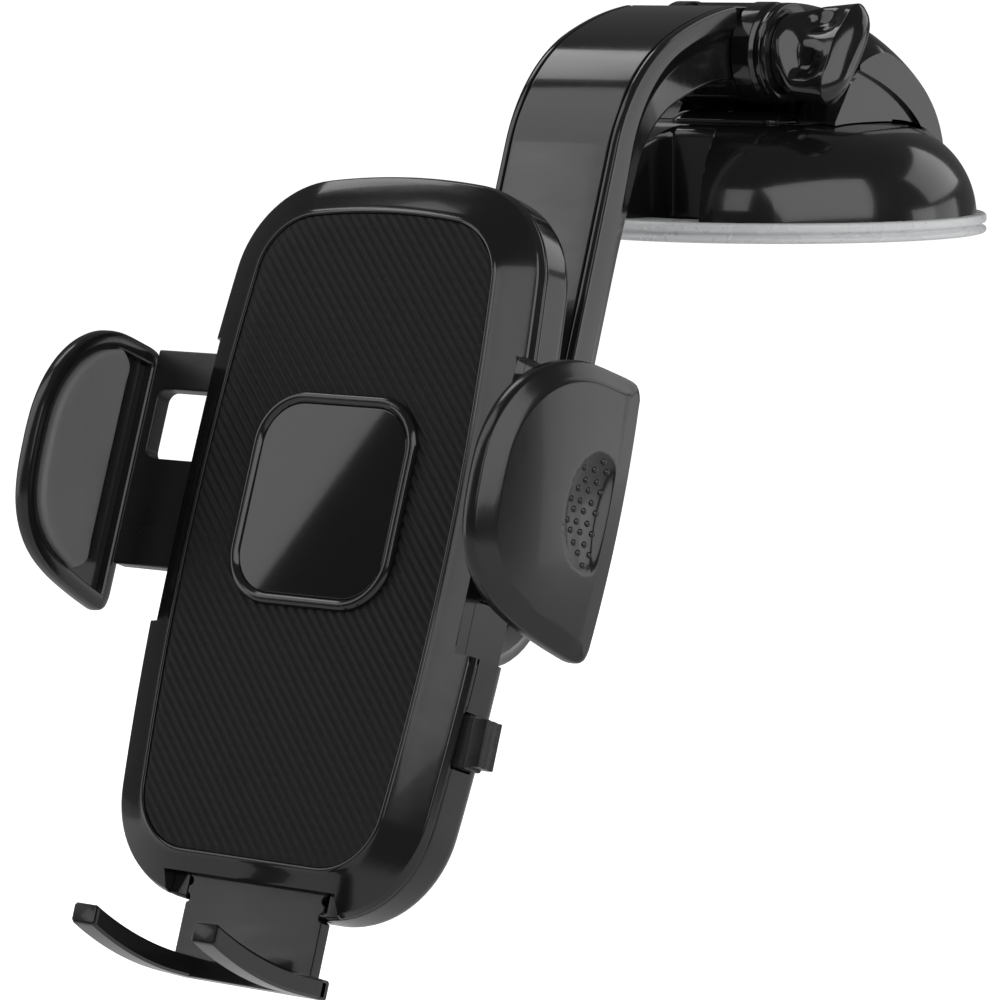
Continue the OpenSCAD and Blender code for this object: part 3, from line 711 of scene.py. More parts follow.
def make_jaw(side, body, name, nodes):
    b = Build()

    def ring(inset, x):
        return [(x, y - inset * ny, v - inset * nv) for y, v, ny, nv in JAW]

    # inside: lip, bevel down to the pad's seat
    pocket = 2.9
    inner = [(pocket + 0.2, JAW_X + 1.5), (pocket, JAW_X + 0.35), (pocket - 0.25, JAW_X + 0.08),
             (pocket - 0.9, JAW_X), (1.1, JAW_X), (0.35, JAW_X + 0.35), (0.06, JAW_X + 0.9),
             (0.0, JAW_X + 1.5), (0.0, JAW_X + 2.4), (0.18, JAW_X + 2.85)]
    ids = [b.add(ring(i, x)) for i, x in inner]
    for p, q in zip(ids, ids[1:]):
        b.bridge(p, q)
    b.f.append(tuple(reversed(ids[0])))
    # the rim's chamfer rises to the outer face
    last = ids[-1]
    face_in = 3.0
    n_cham = 4
    edge = []
    for y, v, ny, nv in JAW:
        d = lerp(face_in, 0.9, smoothstep(5.5, 8.8, y))
        edge.append((y - d * ny, v - d * nv))
    start = [(y - 0.42 * ny, v - 0.42 * nv) for y, v, ny, nv in JAW]
    for k in range(n_cham + 1):
        t = k / n_cham
        now = b.add([(lerp(JAW_X + 3.05, jaw_outer_x(y1, v1), t), lerp(y0, y1, t),
                      lerp(v0, v1, t)) for (y0, v0), (y1, v1) in zip(start, edge)])
        b.bridge(last, now)
        last = now
    # the outer face as rings that shrink towards the dish's centre
    n_in = 46
    cy, cv = DISH[0], DISH[1]
    for k in range(1, n_in):
        t = k / n_in
        ring_at = [(lerp(y1, cy, t), lerp(v1, cv, t)) for y1, v1 in edge]
        now = b.add([(jaw_outer_x(y, v), y, v) for y, v in ring_at])
        b.bridge(last, now)
        last = now
    centre = b.add([(jaw_outer_x(cy, cv), cy, cv)])[0]
    for i in range(len(last)):
        b.f.append((last[i], last[(i + 1) % len(last)], centre))
    # grip dots in the dish
    rows = 8
    for i in range(-rows, rows + 1):
        for j in range(-5, 6):
            y = DISH[0] + j * 2.8 + (1.4 if i % 2 else 0.0) - 1.0
            v = DISH[1] + i * 1.68 + 0.35 * j
            a = math.hypot((y - DISH[0]) / (DISH[2] - 0.9), (v - DISH[1]) / (DISH[3] - 0.9))
            if a > 1.0 or y > CREASE - 1.3:
                continue
            x = jaw_outer_x(y, v)
            base = []
            for rr, h in ((0.54, -0.08), (0.52, 0.12), (0.38, 0.30), (0.18, 0.38)):
                base.append([(x + h, y + rr * math.cos(t * math.pi / 5),
                              v + rr * math.sin(t * math.pi / 5)) for t in range(10)])
            b.loft(base)
    b.v = toed(b.v, side)
    o = b.mesh(name, CRADLE)
    piece(o, body, JAW_BLACK, nodes, angle=28)


def make_jaw_pad(side, body, name, node):
    inner = [(y - 3.1 * ny, v - 3.1 * nv) for y, v, ny, nv in JAW]
    rear = -1.3
    keep = [p for p in inner if p[0] < rear - 0.4]
    start = max(range(len(keep)), key=lambda i: math.dist(keep[i], keep[i - 1]))
    keep = (keep[start:] + keep[:start])[2:-2]
    a, b = keep[-1], keep[0]
    edge = [(rear, lerp(a[1], b[1], 0.05 + 0.90 * k / 10)) for k in range(11)]
    loop = even_loop(smooth_loop(keep[::2] + edge), 0.7)
    loop = with_normals(loop)
    body_mesh = Build()

    def at(inset, x):
        return [(x, y - inset * ny, v - inset * nv) for y, v, ny, nv in loop]

    steps = [(0, 1.45), (0, 0.2), (0, -0.35), (0.12, -0.72), (0.36, -0.98), (0.7, -1.14),
             (1.0, -1.2)]
    rings = [at(i, JAW_X + x) for i, x in steps]
    cy = sum(p[0] for p in loop) / len(loop)
    cv = sum(p[1] for p in loop) / len(loop)
    last = rings[-1]
    for t in (0.9, 0.7, 0.4):
        rings.append([(JAW_X - 1.26, lerp(cy, y, t), lerp(cv, v, t)) for _, y, v in last])
    body_mesh.loft(rings)
    body_mesh.v = toed(body_mesh.v, side)
    o = body_mesh.mesh(name, CRADLE)
    piece(o, body, RUBBER, [node], angle=60)


# -------- release button
def make_button():
    b = Build()
    b.box(30.4, 35.2, 4.75, 9.5, BTN_LOW, BTN_TOP)
    o = b.mesh("button_base", CRADLE)
    bevel(o, 0.45, 3, 40)
    piece(o, "button", SATIN, ["release_button"])
    g = Build()
    v0, v1 = BTN_LOW + 0.5, BTN_TOP - 0.5
    prof = [(35.0, 4.8), (37.3, 4.8), (37.8, 5.1), (37.8, 5.6), (37.35, 5.85), (37.35, 6.15),
            (37.8, 6.4), (37.8, 7.5), (37.35, 7.75), (37.35, 8.05), (37.8, 8.3), (37.8, 8.8),
            (37.3, 9.1), (35.0, 9.1)]
    g.prism(prof, lambda p, q, d: (p, q, d), v0, v1)
    o = g.mesh("button_ridge", CRADLE)
    bevel(o, 0.2, 2, 40)
    piece(o, "button", SATIN)
    s = Build()
    mid = (BTN_LOW + BTN_TOP) / 2
    s.box(18.6, 30.5, 6.4, 8.8, mid - 1.6, mid + 1.6)
    o = s.mesh("button_rod", CRADLE)
    bevel(o, 0.2, 2, 40)
    piece(o, "button", SATIN)


# -------- support tray
def make_tray():
    half, low, top = 14.1, -69.3, -36.0
    y0, y1 = 4.4, 6.8
    right = [(half, low)]
    r = 0.75
    for k in range(7):
        c = -56.6 + 2.7 * k
        for j in range(7):
            a = -math.pi / 2 + math.pi * j / 6
            right.append((half - r * math.cos(a), c + r * math.sin(a)))
    right.append((half, top))
    poly = right + [(-u, q) for u, q in reversed(right)]
    b = Build()
    b.prism(poly, along_y, y0, y1)
    o = b.mesh("tray_plate", CRADLE)
    bevel(o, 0.22, 2, 40)
    piece(o, "tray", GLOSS, ["support_tray"])
    g = Build()
    g.box(-14.7, 14.7, 6.7, 9.2, low, -66.0)
    o = g.mesh("tray_bar", CRADLE)
    bevel(o, 0.5, 3, 40)
    piece(o, "tray", GLOSS)
    # hooks: two strips that curve up towards the front, with chamfered edges
    for name, u0, u1 in (("hook_right", 9.8, 14.7), ("hook_left", -14.7, -9.8)):
        h = Build()
        rings = []
        n, bend_r, bend_y, c = 40, 72.0, 2.0, 0.45
        for k in range(n + 1):
            t = k / n
            y = lerp(8.4, -21.9, t)
            bend = max(0.0, bend_y - y)
            rise = bend_r - math.sqrt(bend_r * bend_r - bend * bend)
            up = -66.0 + rise * 0.93
            low_v = up - 3.3 - 0.1 * math.sin(math.pi * t)
            rings.append([(u0 + c, y, up), (u0, y, up - c), (u0, y, low_v + c),
                          (u0 + c, y, low_v), (u1 - c, y, low_v), (u1, y, low_v + c),
                          (u1, y, up - c), (u1 - c, y, up)])
        h.loft(rings)
        o = h.mesh(name, CRADLE)
        bevel(o, 0.3, 2, 50)
        piece(o, "tray", GLOSS, angle=30)


# -------- arm
BEND = (-37.03, 7.26, 32.0)
CROWN_R, CROWN_A, END_A = 71.0, 112.0, 96.2
RUN = 90.4
ARM_HALF = 12.0


def arm_stations():
    """(y, z, outward y, outward z, distance) along the front face, foot first."""
    lean = math.degrees(LEAN)
    out = []
    a = math.radians(180 - lean)
    ey, ez = BEND[0] + BEND[2] * math.cos(a), BEND[1] + BEND[2] * math.sin(a)
    foot = [0, 0.12, 0.35, 0.8, 1.5, 2.5, 3.8, 5.4, 7.2, 9.2, 12.0]
    ds = foot + [ARM_HALF + (RUN - ARM_HALF) * k / 30 for k in range(1, 31)]
    for d in ds:
        s = RUN - d
        out.append((ey - s * math.sin(LEAN), ez - s * math.cos(LEAN), math.cos(a),
                    math.sin(a), d))
    for k in range(1, 29):
        t = math.radians(lerp(180 - lean, CROWN_A, k / 28))
        out.append((BEND[0] + BEND[2] * math.cos(t), BEND[1] + BEND[2] * math.sin(t),
                    math.cos(t), math.sin(t), RUN + BEND[2] * (a - t)))
    c = math.radians(CROWN_A)
    cy = BEND[0] + (BEND[2] - CROWN_R) * math.cos(c)
    cz = BEND[1] + (BEND[2] - CROWN_R) * math.sin(c)
    base = out[-1][4]
    for k in range(1, 15):
        t = math.radians(lerp(CROWN_A, END_A, k / 14))
        out.append((cy + CROWN_R * math.cos(t), cz + CROWN_R * math.sin(t), math.cos(t),
                    math.sin(t), base + CROWN_R * (c - t)))
    return out, cy, cz


def arm_section(d):
    """Half section from the front's middle to the back's middle: (across, depth)."""
    near = smoothstep(70, 125, d)
    side = lerp(5.7, 3.6, near)
    deep = lerp(11.0, 13.2, near)
    return [(0.0, 0.0), (9.9, 0.0), (10.22, 0.06), (10.22, 0.55), (10.55, 0.55), (10.55, 0.06),
            (10.75, 0.0), (11.35, 0.0), (11.78, 0.2), (12.0, 0.62), (12.0, side - 0.4),
            (11.85, side), (11.3, side + 0.75), (10.75, side + 1.3), (10.1, side + 2.3),
            (9.6, side + 3.4), (9.3, deep - 0.9), (9.1, deep - 0.35), (8.5, deep), (0.0, deep)]


def make_arm():
    st, cy, cz = arm_stations()
    b = Build()
    rings = []
    for y, z, ny, nz, d in st:
        w = 1.0
        if d < ARM_HALF:
            w = max(0.09, math.sqrt(ARM_HALF ** 2 - (ARM_HALF - d) ** 2) / ARM_HALF)
        half = arm_section(d)
        ring = [(x * w, y - ny * q, z - nz * q) for x, q in half]
        ring += [(-x * w, y - ny * q, z - nz * q) for x, q in reversed(half[1:-1])]
        rings.append(ring)
    b.loft(rings)
    o = b.mesh("arm_shell")
    boolean(o, [round_cutter("y", (0, 0, 4), 9.1, 42, 44.35, CRADLE, 64),
                round_cutter("y", (0, 0, 4), 2.6, 42, 58, CRADLE),
                round_cutter("y", (0, 0, 4), 4.6, 50.5, 58, CRADLE)])
    piece(o, "arm", GLOSS, ["arm_body", "arm_cover"], angle=34)
    # the tongue and hub between the ears
    g = Build()
    py, pz = pivot.y, pivot.z
    n, y_front, hub_r = 16, -33.0, 9.0
    r = CROWN_R - 0.5
    ys = [lerp(y_front, py, k / n) for k in range(n)]
    crown = [(y, cz + math.sqrt(r * r - (y - cy) ** 2)) for y in ys]
    turns = [math.radians(lerp(88, -150, k / 24)) for k in range(25)]
    hub = [(py + hub_r * math.cos(a), pz + hub_r * math.sin(a)) for a in turns]
    poly = crown + hub + [(-26.0, 27.6), (-31.0, 28.4)]
    g.prism(poly, along_x, -6.3, 6.3)
    o = g.mesh("arm_tongue")
    bevel(o, 0.4, 3, 40)
    boolean(o, [round_cutter("x", (0, py, pz), 2.1, -9, 9)])
    piece(o, "arm", GLOSS, angle=34)


# -------- pivot
def make_bracket():
    py, pz = pivot.y, pivot.z
    b = Build()
    for s in (-1, 1):
        # the round ear with its chamfers
        prof = [(2.1, 6.6), (8.9, 6.6), (9.2, 6.9), (9.2, 10.35), (9.05, 10.6), (8.2, 11.4),
                (7.9, 11.5), (2.1, 11.5)]
        b.turned("x", (0, py, pz), [(r, s * d) for r, d in prof])
    o = b.mesh("bracket_ears")
    hexcut = Build()
    hexcut.tube("x", (0, py, pz), 4.3, 4.3, -11.9, -9.1, 6)
    boolean(o, [hexcut.mesh("cut")])
    piece(o, "base", GLOSS, ["pivot_bracket"], angle=34)
    for s, name in ((1, "neck_right"), (-1, "neck_left")):
        n = Build()
        line = [(-9.4, 20.45), (-8.6, 21.4), (-9.6, 23.4), (-12.6, 25.6), (-16.0, 27.2),
                (-13.0, 31.0), (-6.6, 29.6), (-4.8, 28.2), (-1.2, 25.4), (2.5, 22.4),
                (2.6, 20.45)]
        n.prism(line, along_x, s * 6.7, s * 11.3)
        o = n.mesh(name)
        bevel(o, 0.5, 3, 40)
        piece(o, "base", GLOSS, angle=34)
    f = Build()
    steps = [(20.35, 11.4, -16.9, 2.6), (21.0, 11.4, -16.9, 2.6), (22.0, 10.6, -15.6, 2.2),
             (22.8, 9.4, -13.6, 1.6)]
    f.loft([rounded_rect(hw, y0, y1, 2.2, z) for z, hw, y0, y1 in steps])
    o = f.mesh("bracket_foot")
    bevel(o, 0.25, 2, 40)
    piece(o, "base", GLOSS, angle=34)


def rounded_rect(hw, y0, y1, r, z, n=8):
    out = []
    for k, (sx, yy) in enumerate(((1, y1), (-1, y1), (-1, y0), (1, y0))):
        sy = 1 if yy == y1 else -1
        for i in range(n + 1):
            a = math.pi / 2 * (k + i / n)
            out.append((sx * (hw - r) + r * math.cos(a), yy - sy * r + r * math.sin(a), z))
    return out


def make_washer():
    b = Build()
    prof = [(2.2, 11.65), (8.6, 11.65), (8.95, 11.85), (9.05, 12.2), (9.05, 12.55),
            (8.8, 12.75), (8.8, 12.95), (9.05, 13.1), (9.05, 13.5), (8.85, 13.85),
            (8.4, 14.0), (2.2, 14.0)]
    b.turned("x", (0, pivot.y, pivot.z), prof)
    o = b.mesh("knob_collar")
    piece(o, "base", GLOSS, ["knob_washer"], angle=34)


STEM_R = 7.35


def make_knob():
    """A wing knob: round stem, lens-shaped wings hollowed on both sides, bevelled end."""
    py, pz = pivot.y, pivot.z
    tilt = math.radians(51)
    n = 80

    def section(x, lens, long_half, thick, pinch):
        """Round where lens is 0, lens-shaped with finger hollows where it is 1."""
        ring = []
        for k in range(n):
            t = 2 * math.pi * k / n
            c, s = math.cos(t), math.sin(t)
            p = long_half * math.copysign(abs(c) ** 0.75, c)
            q = thick * math.copysign(abs(s) ** 0.9, s)
            q *= 1 - pinch * math.exp(-((abs(p) - 4.9) / 2.9) ** 2)
            p, q = lerp(STEM_R * c, p, lens), lerp(STEM_R * s, q, lens)
            ring.append((x, py + p * math.cos(tilt) - q * math.sin(tilt),
                         pz + p * math.sin(tilt) + q * math.cos(tilt)))
        return ring

    w = Build()
    steps = [(14.25, 0, 10, 3.8, 0), (14.32, 0.02, 10, 3.8, 0)]
    for k in range(1, 15):
        x = lerp(14.4, 24.8, k / 14)
        t = smoothstep(14.6, 18.4, x)
        steps.append((x, t, lerp(9.3, 10.6, (x - 14) / 10.8), 4.5,
                      0.5 * t * (1 - 0.8 * smoothstep(20.5, 24.6, x))))
    steps += [(25.0, 1, 10.6, 4.5, 0.06), (25.15, 1, 10.5, 4.4, 0.04),
              (25.5, 1, 10.1, 4.1, 0.02), (26.1, 1, 9.4, 3.5, 0.0), (26.8, 1, 8.2, 2.7, 0.0),
              (27.4, 1, 6.6, 1.85, 0.0), (27.75, 1, 4.8, 1.05, 0.0), (27.9, 1, 3.0, 0.4, 0.0)]
    w.loft([section(*a) for a in steps])
    o = w.mesh("knob_wings")
    boolean(o, [round_cutter("x", (0, py, pz), 2.05, 14, 20)])
    piece(o, "knob", GLOSS, ["wing_knob"], angle=50)


# -------- suction base
GEL_TOP, DOME_TOP, DOME_ROUND = 3.6, 20.3, 17.6
SH_X, SH_Z = 20.6, 2.7
FLAT_FRONT, FLAT_REAR, WALL = 25.2, 17.6, 2.0


def dome_profile(grow, n=26, z_low=GEL_TOP):
    out = []
    R = DOME_ROUND + grow
    a0 = math.asin((z_low - SH_Z) / R)
    for k in range(n + 1):
        a = lerp(a0, math.pi / 2, k / n)
        out.append((SH_X + R * math.cos(a), SH_Z + R * math.sin(a)))
    for k in range(1, 9):
        out.append((SH_X * (1 - k / 9), SH_Z + R))
    return out


def make_dome():
    """The round housing, with a flat front and, behind the lever, an open rear."""
    angles = []
    a = -180.0
    while a < 180:
        angles.append(a)
        a += 0.6 if abs(a) < 34 else 2.0
    b = Build()
    outer = dome_profile(0.0)
    inner = dome_profile(-WALL)
    ids = []
    for a in angles:
        t = math.radians(a - 90)
        c, s = math.cos(t), math.sin(t)
        plane = FLAT_FRONT / max(0.2, math.cos(math.radians(a)))
        lim = lerp(plane, 70.0, smoothstep(9.5, 17.5, abs(a)) ** 1.6)
        ring = []
        for r, z in outer:
            rr = smin(r, lim, 3.4) if abs(a) < 40 else r
            ring.append((rr * c, rr * s, z))
        rear = abs(abs(a) - 180) < 47
        lim2 = FLAT_REAR / max(0.2, math.cos(math.radians(180 - abs(a)))) if rear else 99
        lim3 = plane - WALL if abs(a) < 18 else 99
        back = []
        for r, z in inner:
            rr = min(r, lim2, lim3)
            back.append((rr * c, rr * s, z))
        ids.append((b.add(ring), b.add(back)))
    top_o = b.add([(0, 0, DOME_TOP)])[0]
    top_i = b.add([(0, 0, DOME_TOP - WALL)])[0]
    m = len(ids)
    for i in range(m):
        (o0, i0), (o1, i1) = ids[i], ids[(i + 1) % m]
        for k in range(len(outer) - 1):
            b.f.append((o0[k], o1[k], o1[k + 1], o0[k + 1]))
            b.f.append((i0[k], i0[k + 1], i1[k + 1], i1[k]))
        b.f.append((o0[-1], o1[-1], top_o))
        b.f.append((i1[-1], i0[-1], top_i))
        b.f.append((o0[0], i0[0], i1[0], o1[0]))
    o = b.mesh("dome")
    boolean(o, cutter((-17.2, 17.2, 19.4, 41, 5.0, 31), (-5, 5, 17, 20, 10, 17.4), matrix=WORLD))
    piece(o, "base", GLOSS, ["base_housing"], angle=36)
    g = Build()
    for x0 in (-8.6, 6.0):
        g.tube("x", (0, lever_pin.y, lever_pin.z), 3, 3, x0, x0 + 2.6)
        g.box(x0, x0 + 2.6, lever_pin.y - 3, lever_pin.y + 3, 4.8, lever_pin.z)
    o = g.mesh("lever_ears")
    bevel(o, 0.25, 2, 40)
    piece(o, "base", GLOSS)
    w = Build()
    w.box(-34.5, 34.5, -7, 7, 8.6, 10.6)
    for s in (-1, 1):
        w.box(*sorted((s * 4.6, s * 7.4)), 9.5, 14.5, 11.8, 18.5)
    o = w.mesh("spring_web")
    boolean(o, [round_cutter("z", (0, 0, 0), 2.3, 7, 13)])
    piece(o, "base", SATIN)


def make_gel():
    b = Build()
    prof = [(24.0, 0.0), (39.3, 0.0), (39.75, 0.12), (39.98, 0.4), (40.0, 0.75),
            (39.85, 1.05), (39.35, 1.22), (39.1, 1.42), (39.1, 1.62), (39.4, 1.82),
            (39.85, 2.0), (40.0, 2.3), (40.0, 3.05), (39.88, 3.35), (39.6, 3.55),
            (39.2, 3.6), (30.0, 3.6), (28.0, 2.4), (24.0, 2.2)]
    b.turned("z", (0, 0, 0), prof, 180)
    o = b.mesh("gel_ring")
    piece(o, "base", GEL, ["suction_ring"], angle=50)


HOOD_Y, HOOD_Z, HOOD_R, HOOD_W = 6.0, 11.7, 30.2, 21.4


def dome_cutter(grow):
    """The dome's whole round, larger by a clearance."""
    d = Build()
    d.turned("z", (0, 0, 0), [(0.01, 6.0)] + dome_profile(grow, 30, 6.0)
             + [(0.01, DOME_TOP + grow)], 120)
    return d.mesh("cut")


def hood_drop(y):
    """How much flatter than a ball the shell is behind its top."""
    return 2.2 * math.sin(math.pi * min(max((y - HOOD_Y) / 27.8, 0.0), 1.0))


def hood_top(x, y):
    d = HOOD_R ** 2 - x * x - (y - HOOD_Y) ** 2
    return HOOD_Z + math.sqrt(max(d, 0.0)) - hood_drop(y)


LIP_Y, LIP_Z = -2.5, 28.3
CHEEK_Y = -12.0


def make_hood():
    """The lever's shell: a dome section, its lip over a slanted front between two cheeks."""
    b = Build()
    ys = [CHEEK_Y + (33.8 - CHEEK_Y) * (1 - (1 - k / 44) ** 1.3) for k in range(45)]
    cols = []
    for y in ys:
        c = math.sqrt(max(HOOD_R ** 2 - (y - HOOD_Y) ** 2, 0.0))
        zl = 10.0
        hw = min(HOOD_W, math.sqrt(max(c * c - (zl - HOOD_Z) ** 2, 0.0)))
        row = [(-hw, y, zl)]
        zt = hood_top(hw, y)
        for k in range(1, 12):
            row.append((-hw, y, lerp(zl, zt, k / 12)))
        for k in range(49):
            x = -hw * math.cos(math.pi * k / 48)
            row.append((x, y, hood_top(x, y)))
        for k in range(11, 0, -1):
            row.append((hw, y, lerp(zl, zt, k / 12)))
        row.append((hw, y, zl))
        cols.append(row)
    b.loft(cols)
    o = b.mesh("hood")
    # the slanted front
    f = Build()
    f.prism([(-14, 60), (-3.2, 60), (-3.2, 29.4), (-6.6, 27.4), (-11.6, 20.8), (-11.6, 5),
             (-14, 5)], along_x, -30, 30)
    e = Build()
    e.prism([(-14, 60), (LIP_Y, 60), (LIP_Y, LIP_Z), (6.4, 20.6), (6.4, 5), (-14, 5)],
            along_x, -13.0, 13.0)
    boolean(o, [f.mesh("cut"), e.mesh("cut")])
    bevel(o, 0.9, 3, 42)
    # hollow inside
    g = Build()
    cols = []
    for k in range(25):
        y = lerp(LIP_Y + 2, 31.8, k / 24)
        c = math.sqrt(max((HOOD_R - WALL) ** 2 - (y - HOOD_Y) ** 2, 0.0))
        hw = min(HOOD_W - WALL, math.sqrt(max(c * c - (8 - HOOD_Z) ** 2, 0.0)))
        row = [(-hw, y, 8.0)]
        for m in range(33):
            x = -hw * math.cos(math.pi * m / 32)
            row.append((x, y, HOOD_Z + math.sqrt(max(c * c - x * x, 0.0)) - hood_drop(y)))
        row.append((hw, y, 8.0))
        cols.append(row)
    g.loft(cols)
    hollow = g.mesh("cut")
    w = Build()
    w.prism([(LIP_Y - 6, LIP_Z + 0.9), (LIP_Y + 2, LIP_Z + 0.9), (8.4, 21.5), (8.4, 2),
             (LIP_Y - 6, 2)], along_x, -30, 30)
    boolean(hollow, [w.mesh("cut")])
    # it clears the dome, and by more at the rear, where it swings past the ears
    dome = dome_cutter(0.25)
    rear = dome_cutter(0.6)
    boolean(rear, cutter((-60, 60, -60, 8, -5, 60), matrix=WORLD))
    m = Build()
    m.box(-14, 14, -5, 9.4, 19.5, 24.3)
    boolean(o, [hollow, dome, rear, m.mesh("cut")])
    # curved groove on both sides
    upper = [(-4.4, 30.3), (0.1, 28.9), (3.4, 27.8), (6.5, 26.6), (9.6, 25.2), (12.6, 23.6),
             (15.1, 22.0), (17.3, 20.3), (19.8, 17.8), (21.8, 15.2)]
    tools = []
    for s in (-1, 1):
        t = Build()
        line = upper + [(y - 1.0, z - 1.5) for y, z in reversed(upper)]
        x0, x1 = sorted((s * 20.6, s * 24.0))
        t.prism(line, along_x, x0, x1)
        tools.append(t.mesh("cut"))
    boolean(o, tools)
    piece(o, "lever", GLOSS, ["lock_lever"], angle=34)
    # hinge lug, nose and rear skirt
    g = Build()
    g.tube("x", (0, lever_pin.y, lever_pin.z), 3.2, 3.2, -5.7, 5.7, 40)
    k = g.mesh("lever_lug")
    h = Build()
    h.box(-5.6, 5.6, lever_pin.y - 2, lever_pin.y + 2, lever_pin.z, 25.6)
    h.box(-3.5, 3.5, lever_pin.y - 6, lever_pin.y - 1.9, 15.6, 19)
    bar = h.mesh("cut")
    boolean(k, [bar], "UNION")
    boolean(k, [round_cutter("x", (0, lever_pin.y, lever_pin.z), 1.56, -9, 9)])
    bevel(k, 0.25, 2, 40)
    piece(k, "lever", SATIN)
    s = Build()
    rings = []
    for i in range(31):
        x = lerp(-16.6, 16.6, i / 30)
        ring = []
        for grow, zs in ((0.0, (9.2, 10.5, 12.0, 13.5, 15.0, 16.3)),
                         (-2.0, (16.3, 15.0, 13.5, 12.0, 10.5, 9.2))):
            for z in zs:
                R = DOME_ROUND + grow
                rad = SH_X + math.sqrt(max(R * R - (z - SH_Z) ** 2, 0.01))
                ring.append((x, math.sqrt(rad * rad - x * x), z))
        rings.append(ring)
    s.loft(rings)
    o = s.mesh("lever_skirt")
    boolean(o, cutter((5.4, 9.2, 27, 41, 9, 15.3), (-9.2, -5.4, 27, 41, 9, 15.3), matrix=WORLD))
    bevel(o, 0.25, 2, 40)
    piece(o, "lever", GLOSS, angle=34)


# -------- kept CAD nodes
def dress_cad():
    slots = {s["node"]: s["material_slot"] for s in frame["record"]["subparts"]}
    for name, o in frame["nodes"].items():
        if o.hide_render:
            continue
        mat = SLOT_MAT[slots[name]]
        o.data.materials.clear()
        o.data.materials.append(mat)
        for p in o.data.polygons:
            p.material_index = 0
            p.use_smooth = True
        o.data.set_sharp_from_angle(angle=math.radians(30))


make_bezel()
make_pad()
make_badge()
make_casing()
clamp_arm(-1, "left_frame", "left_arm", "left_clamp", SATIN)
clamp_arm(1, "right_frame", "right_arm", "right_clamp", SATIN)
make_jaw(-1, "left_clamp", "left_shell", ["left_jaw"])
make_jaw(1, "right_clamp", "right_shell", ["right_jaw"])
make_jaw_pad(-1, "left_clamp", "left_grip", "left_jaw_pad")
make_jaw_pad(1, "right_clamp", "right_grip", "right_jaw_pad")
make_button()
make_tray()
make_arm()
make_bracket()
make_washer()
make_knob()
make_dome()
make_gel()
make_hood()
dress_cad()

# -------- floor, light, camera
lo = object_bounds()[0]


def area(name, size, glow):
    """A rectangular light of a given brightness, whatever its size."""
    d = bpy.data.lights.new(name, "AREA")
    d.shape = "RECTANGLE"
    d.size, d.size_y = size
    d.energy = glow * math.pi * size[0] * size[1]
    o = bpy.data.objects.new(name, d)
    bpy.context.scene.collection.objects.link(o)
    return o


EYE = Vector((0.455919, -0.712171, 0.051070))
AZIMUTH, ELEVATION = 36, 6.795


def toward(azimuth, elevation):
    """The direction at an azimuth (0 = front, 90 = right side) and an elevation."""
    az, el = math.radians(azimuth), math.radians(elevation)
    return Vector((math.sin(az) * math.cos(el), -math.cos(az) * math.cos(el), math.sin(el)))


def soft(name, azimuth, elevation, far, size, glow):
    """A softbox that faces the mount."""
    o = area(name, size, glow)
    d = toward(azimuth, elevation)
    o.location = Vector((0, -0.08, -0.02)) + d * far
    o.rotation_mode = "QUATERNION"
    o.rotation_quaternion = (-d).to_track_quat("-Z", "Y")


def mirrored(depth, u, v, far, middle=None, axis=None):
    """Where the camera's view of a point on a cradle plane goes after its reflection."""
    n = (CRADLE.to_3x3() @ Vector((0, -1, 0))).normalized()
    q = CRADLE @ Vector((u * MM, depth * MM, v * MM))
    eye = EYE - 2 * (EYE - q).dot(n) * n
    d = (q - eye).normalized()
    if middle is None:
        return q + d * far, d
    return eye + d * ((middle - eye).dot(axis) / d.dot(axis)), d


def place_card(name, where, x, axis, long, wide, glow):
    """A light, unseen itself, that shines along -axis; its side named long runs along x."""
    o = area(name, (long, wide), glow)
    turn = Matrix((x, axis.cross(x), axis)).transposed().to_4x4()
    o.matrix_world = Matrix.Translation(where) @ turn
    o.visible_camera = False


def card(name, edge, inside, far, long, wide, glow):
    """A light whose straight edge is mirrored by the badge along the given line."""
    depth = -0.5
    middle, axis = mirrored(depth, *(sum(p) / 2 for p in zip(*edge)), far)
    a, b, c = (mirrored(depth, *at, far, middle, axis)[0] for at in (*edge, inside))
    x = (b - a).normalized()
    side = axis.cross(x)
    if side.dot(c - middle) < 0:
        side = -side
    place_card(name, middle + side * (wide / 2), x, axis, long, wide, glow)


def patch(name, depth, u0, u1, v0, v1, far, glow):
    """A light that just fills the reflection in a flat face of the cradle's tilt."""
    u, v = (u0 + u1) / 2, (v0 + v1) / 2
    middle, axis = mirrored(depth, u, v, far)
    left, right, low, top = (mirrored(depth, *at, far, middle, axis)[0]
                             for at in ((u0, v), (u1, v), (u, v0), (u, v1)))
    x = (right - left).normalized()
    place_card(name, middle, x, axis, (right - left).length, (top - low).length, glow)


def seen(n, l, others, direct):
    """One strength where the picture sees a surface itself, another where it lights others."""
    path = n.new("ShaderNodeLightPath")
    return ramp(n, l, path.outputs["Is Camera Ray"], 0.0, 1.0, others, direct)


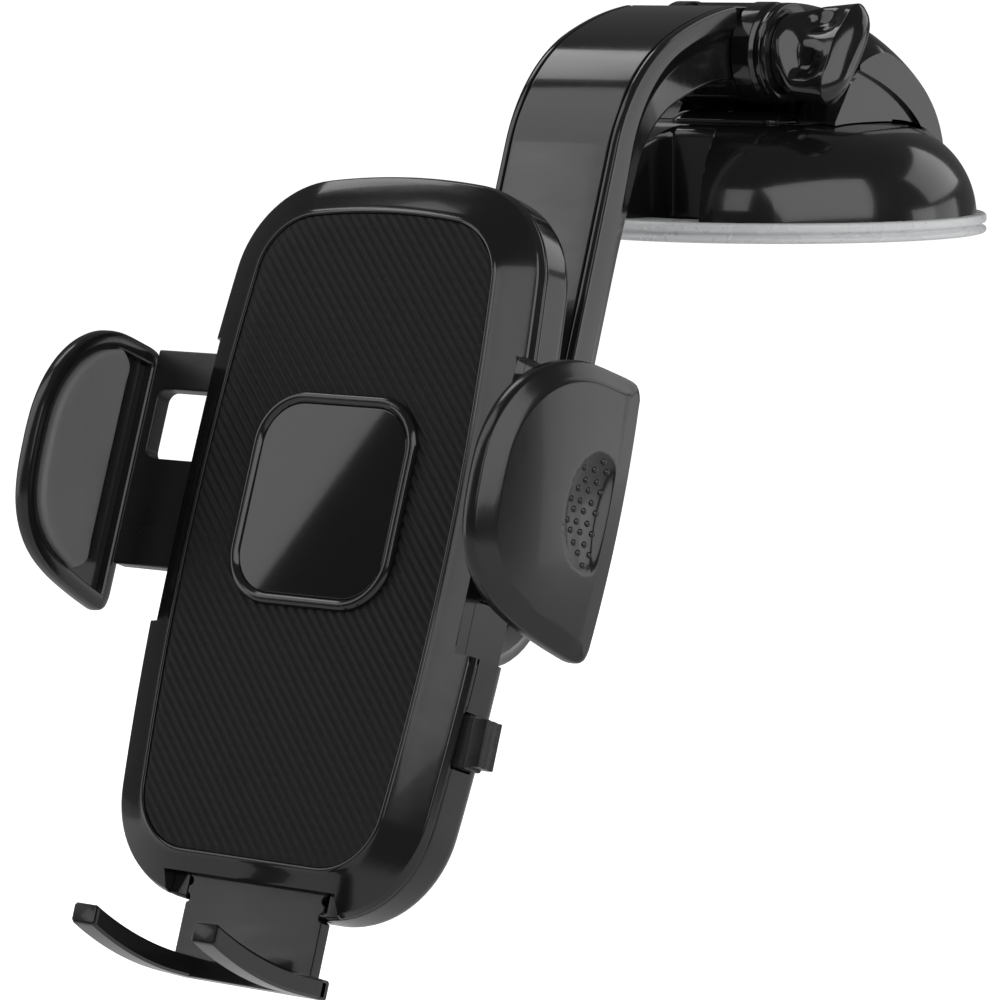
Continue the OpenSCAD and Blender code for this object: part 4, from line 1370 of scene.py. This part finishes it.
def make_stage():
    floor = Build()
    size, drop = 9000, 60
    z = lo.z / MM - drop
    floor.f.append(tuple(floor.add([(-size, -size, z), (size, -size, z), (size, size, z),
                                    (-size, size, z)])))
    o = floor.mesh("floor")
    m, n, l = new_mat("pale_floor")
    b = n["Principled BSDF"]
    here = object_place(n)
    l.new(blend(n, l, noise(n, l, here, 3.0, 2.0), (0.86, 0.86, 0.86), (0.9, 0.9, 0.9)),
          b.inputs["Base Color"])
    put(b, {"Roughness": 0.9, "Specular IOR Level": 0.1, "Emission Color": (1, 1, 1, 1)})
    l.new(seen(n, l, 0.1, 1.0), b.inputs["Emission Strength"])
    o.data.materials.append(m)
    world = bpy.data.worlds.new("studio")
    bpy.context.scene.world = world
    world.use_nodes = True
    n, l = world.node_tree.nodes, world.node_tree.links
    put(n["Background"], {"Color": (1, 1, 1, 1)})
    l.new(seen(n, l, 0.1, 1.05), n["Background"].inputs["Strength"])
    bpy.context.scene.view_settings.view_transform = "Standard"
    card("front_left", ((9.0, 26.0), (-9.5, -6.0)), (-12, 22), 1.1, 1.5, 0.62, 1.35)
    patch("tray_front", 4.4, -17, 17, -72, -52, 1.1, 1.5)
    patch("arm_front", 43, -15, 15, 38, 94, 1.1, 0.95)
    soft("key_right", 68, 30, 1.2, (1.25, 0.95), 1.9)
    soft("front_high", 15, 31, 1.2, (0.30, 0.55), 1.4)
    soft("back_right", 150, 1, 1.1, (0.44, 0.36), 0.85)
    soft("jaw_glow", 130, 1, 1.1, (0.34, 0.36), 1.6)
    soft("back_high", 156, 25, 1.2, (0.85, 0.5), 1.1)
    soft("top_strip", -104, 53, 1.1, (0.42, 0.24), 2.4)


def make_camera():
    cam = bpy.data.cameras.new("camera")
    cam.lens = 164.3
    cam.sensor_width = 36
    cam.shift_y = -0.0036
    cam.clip_start, cam.clip_end = 0.05, 50
    o = bpy.data.objects.new("camera", cam)
    az = math.radians(AZIMUTH)
    right = Vector((math.cos(az), math.sin(az), 0))
    back = toward(AZIMUTH, ELEVATION)
    up = back.cross(right)
    rot = Matrix((right, up, back)).transposed().to_4x4()
    o.matrix_world = Matrix.Translation(EYE) @ rot
    bpy.context.scene.collection.objects.link(o)
    bpy.context.scene.camera = o


make_stage()
make_camera()
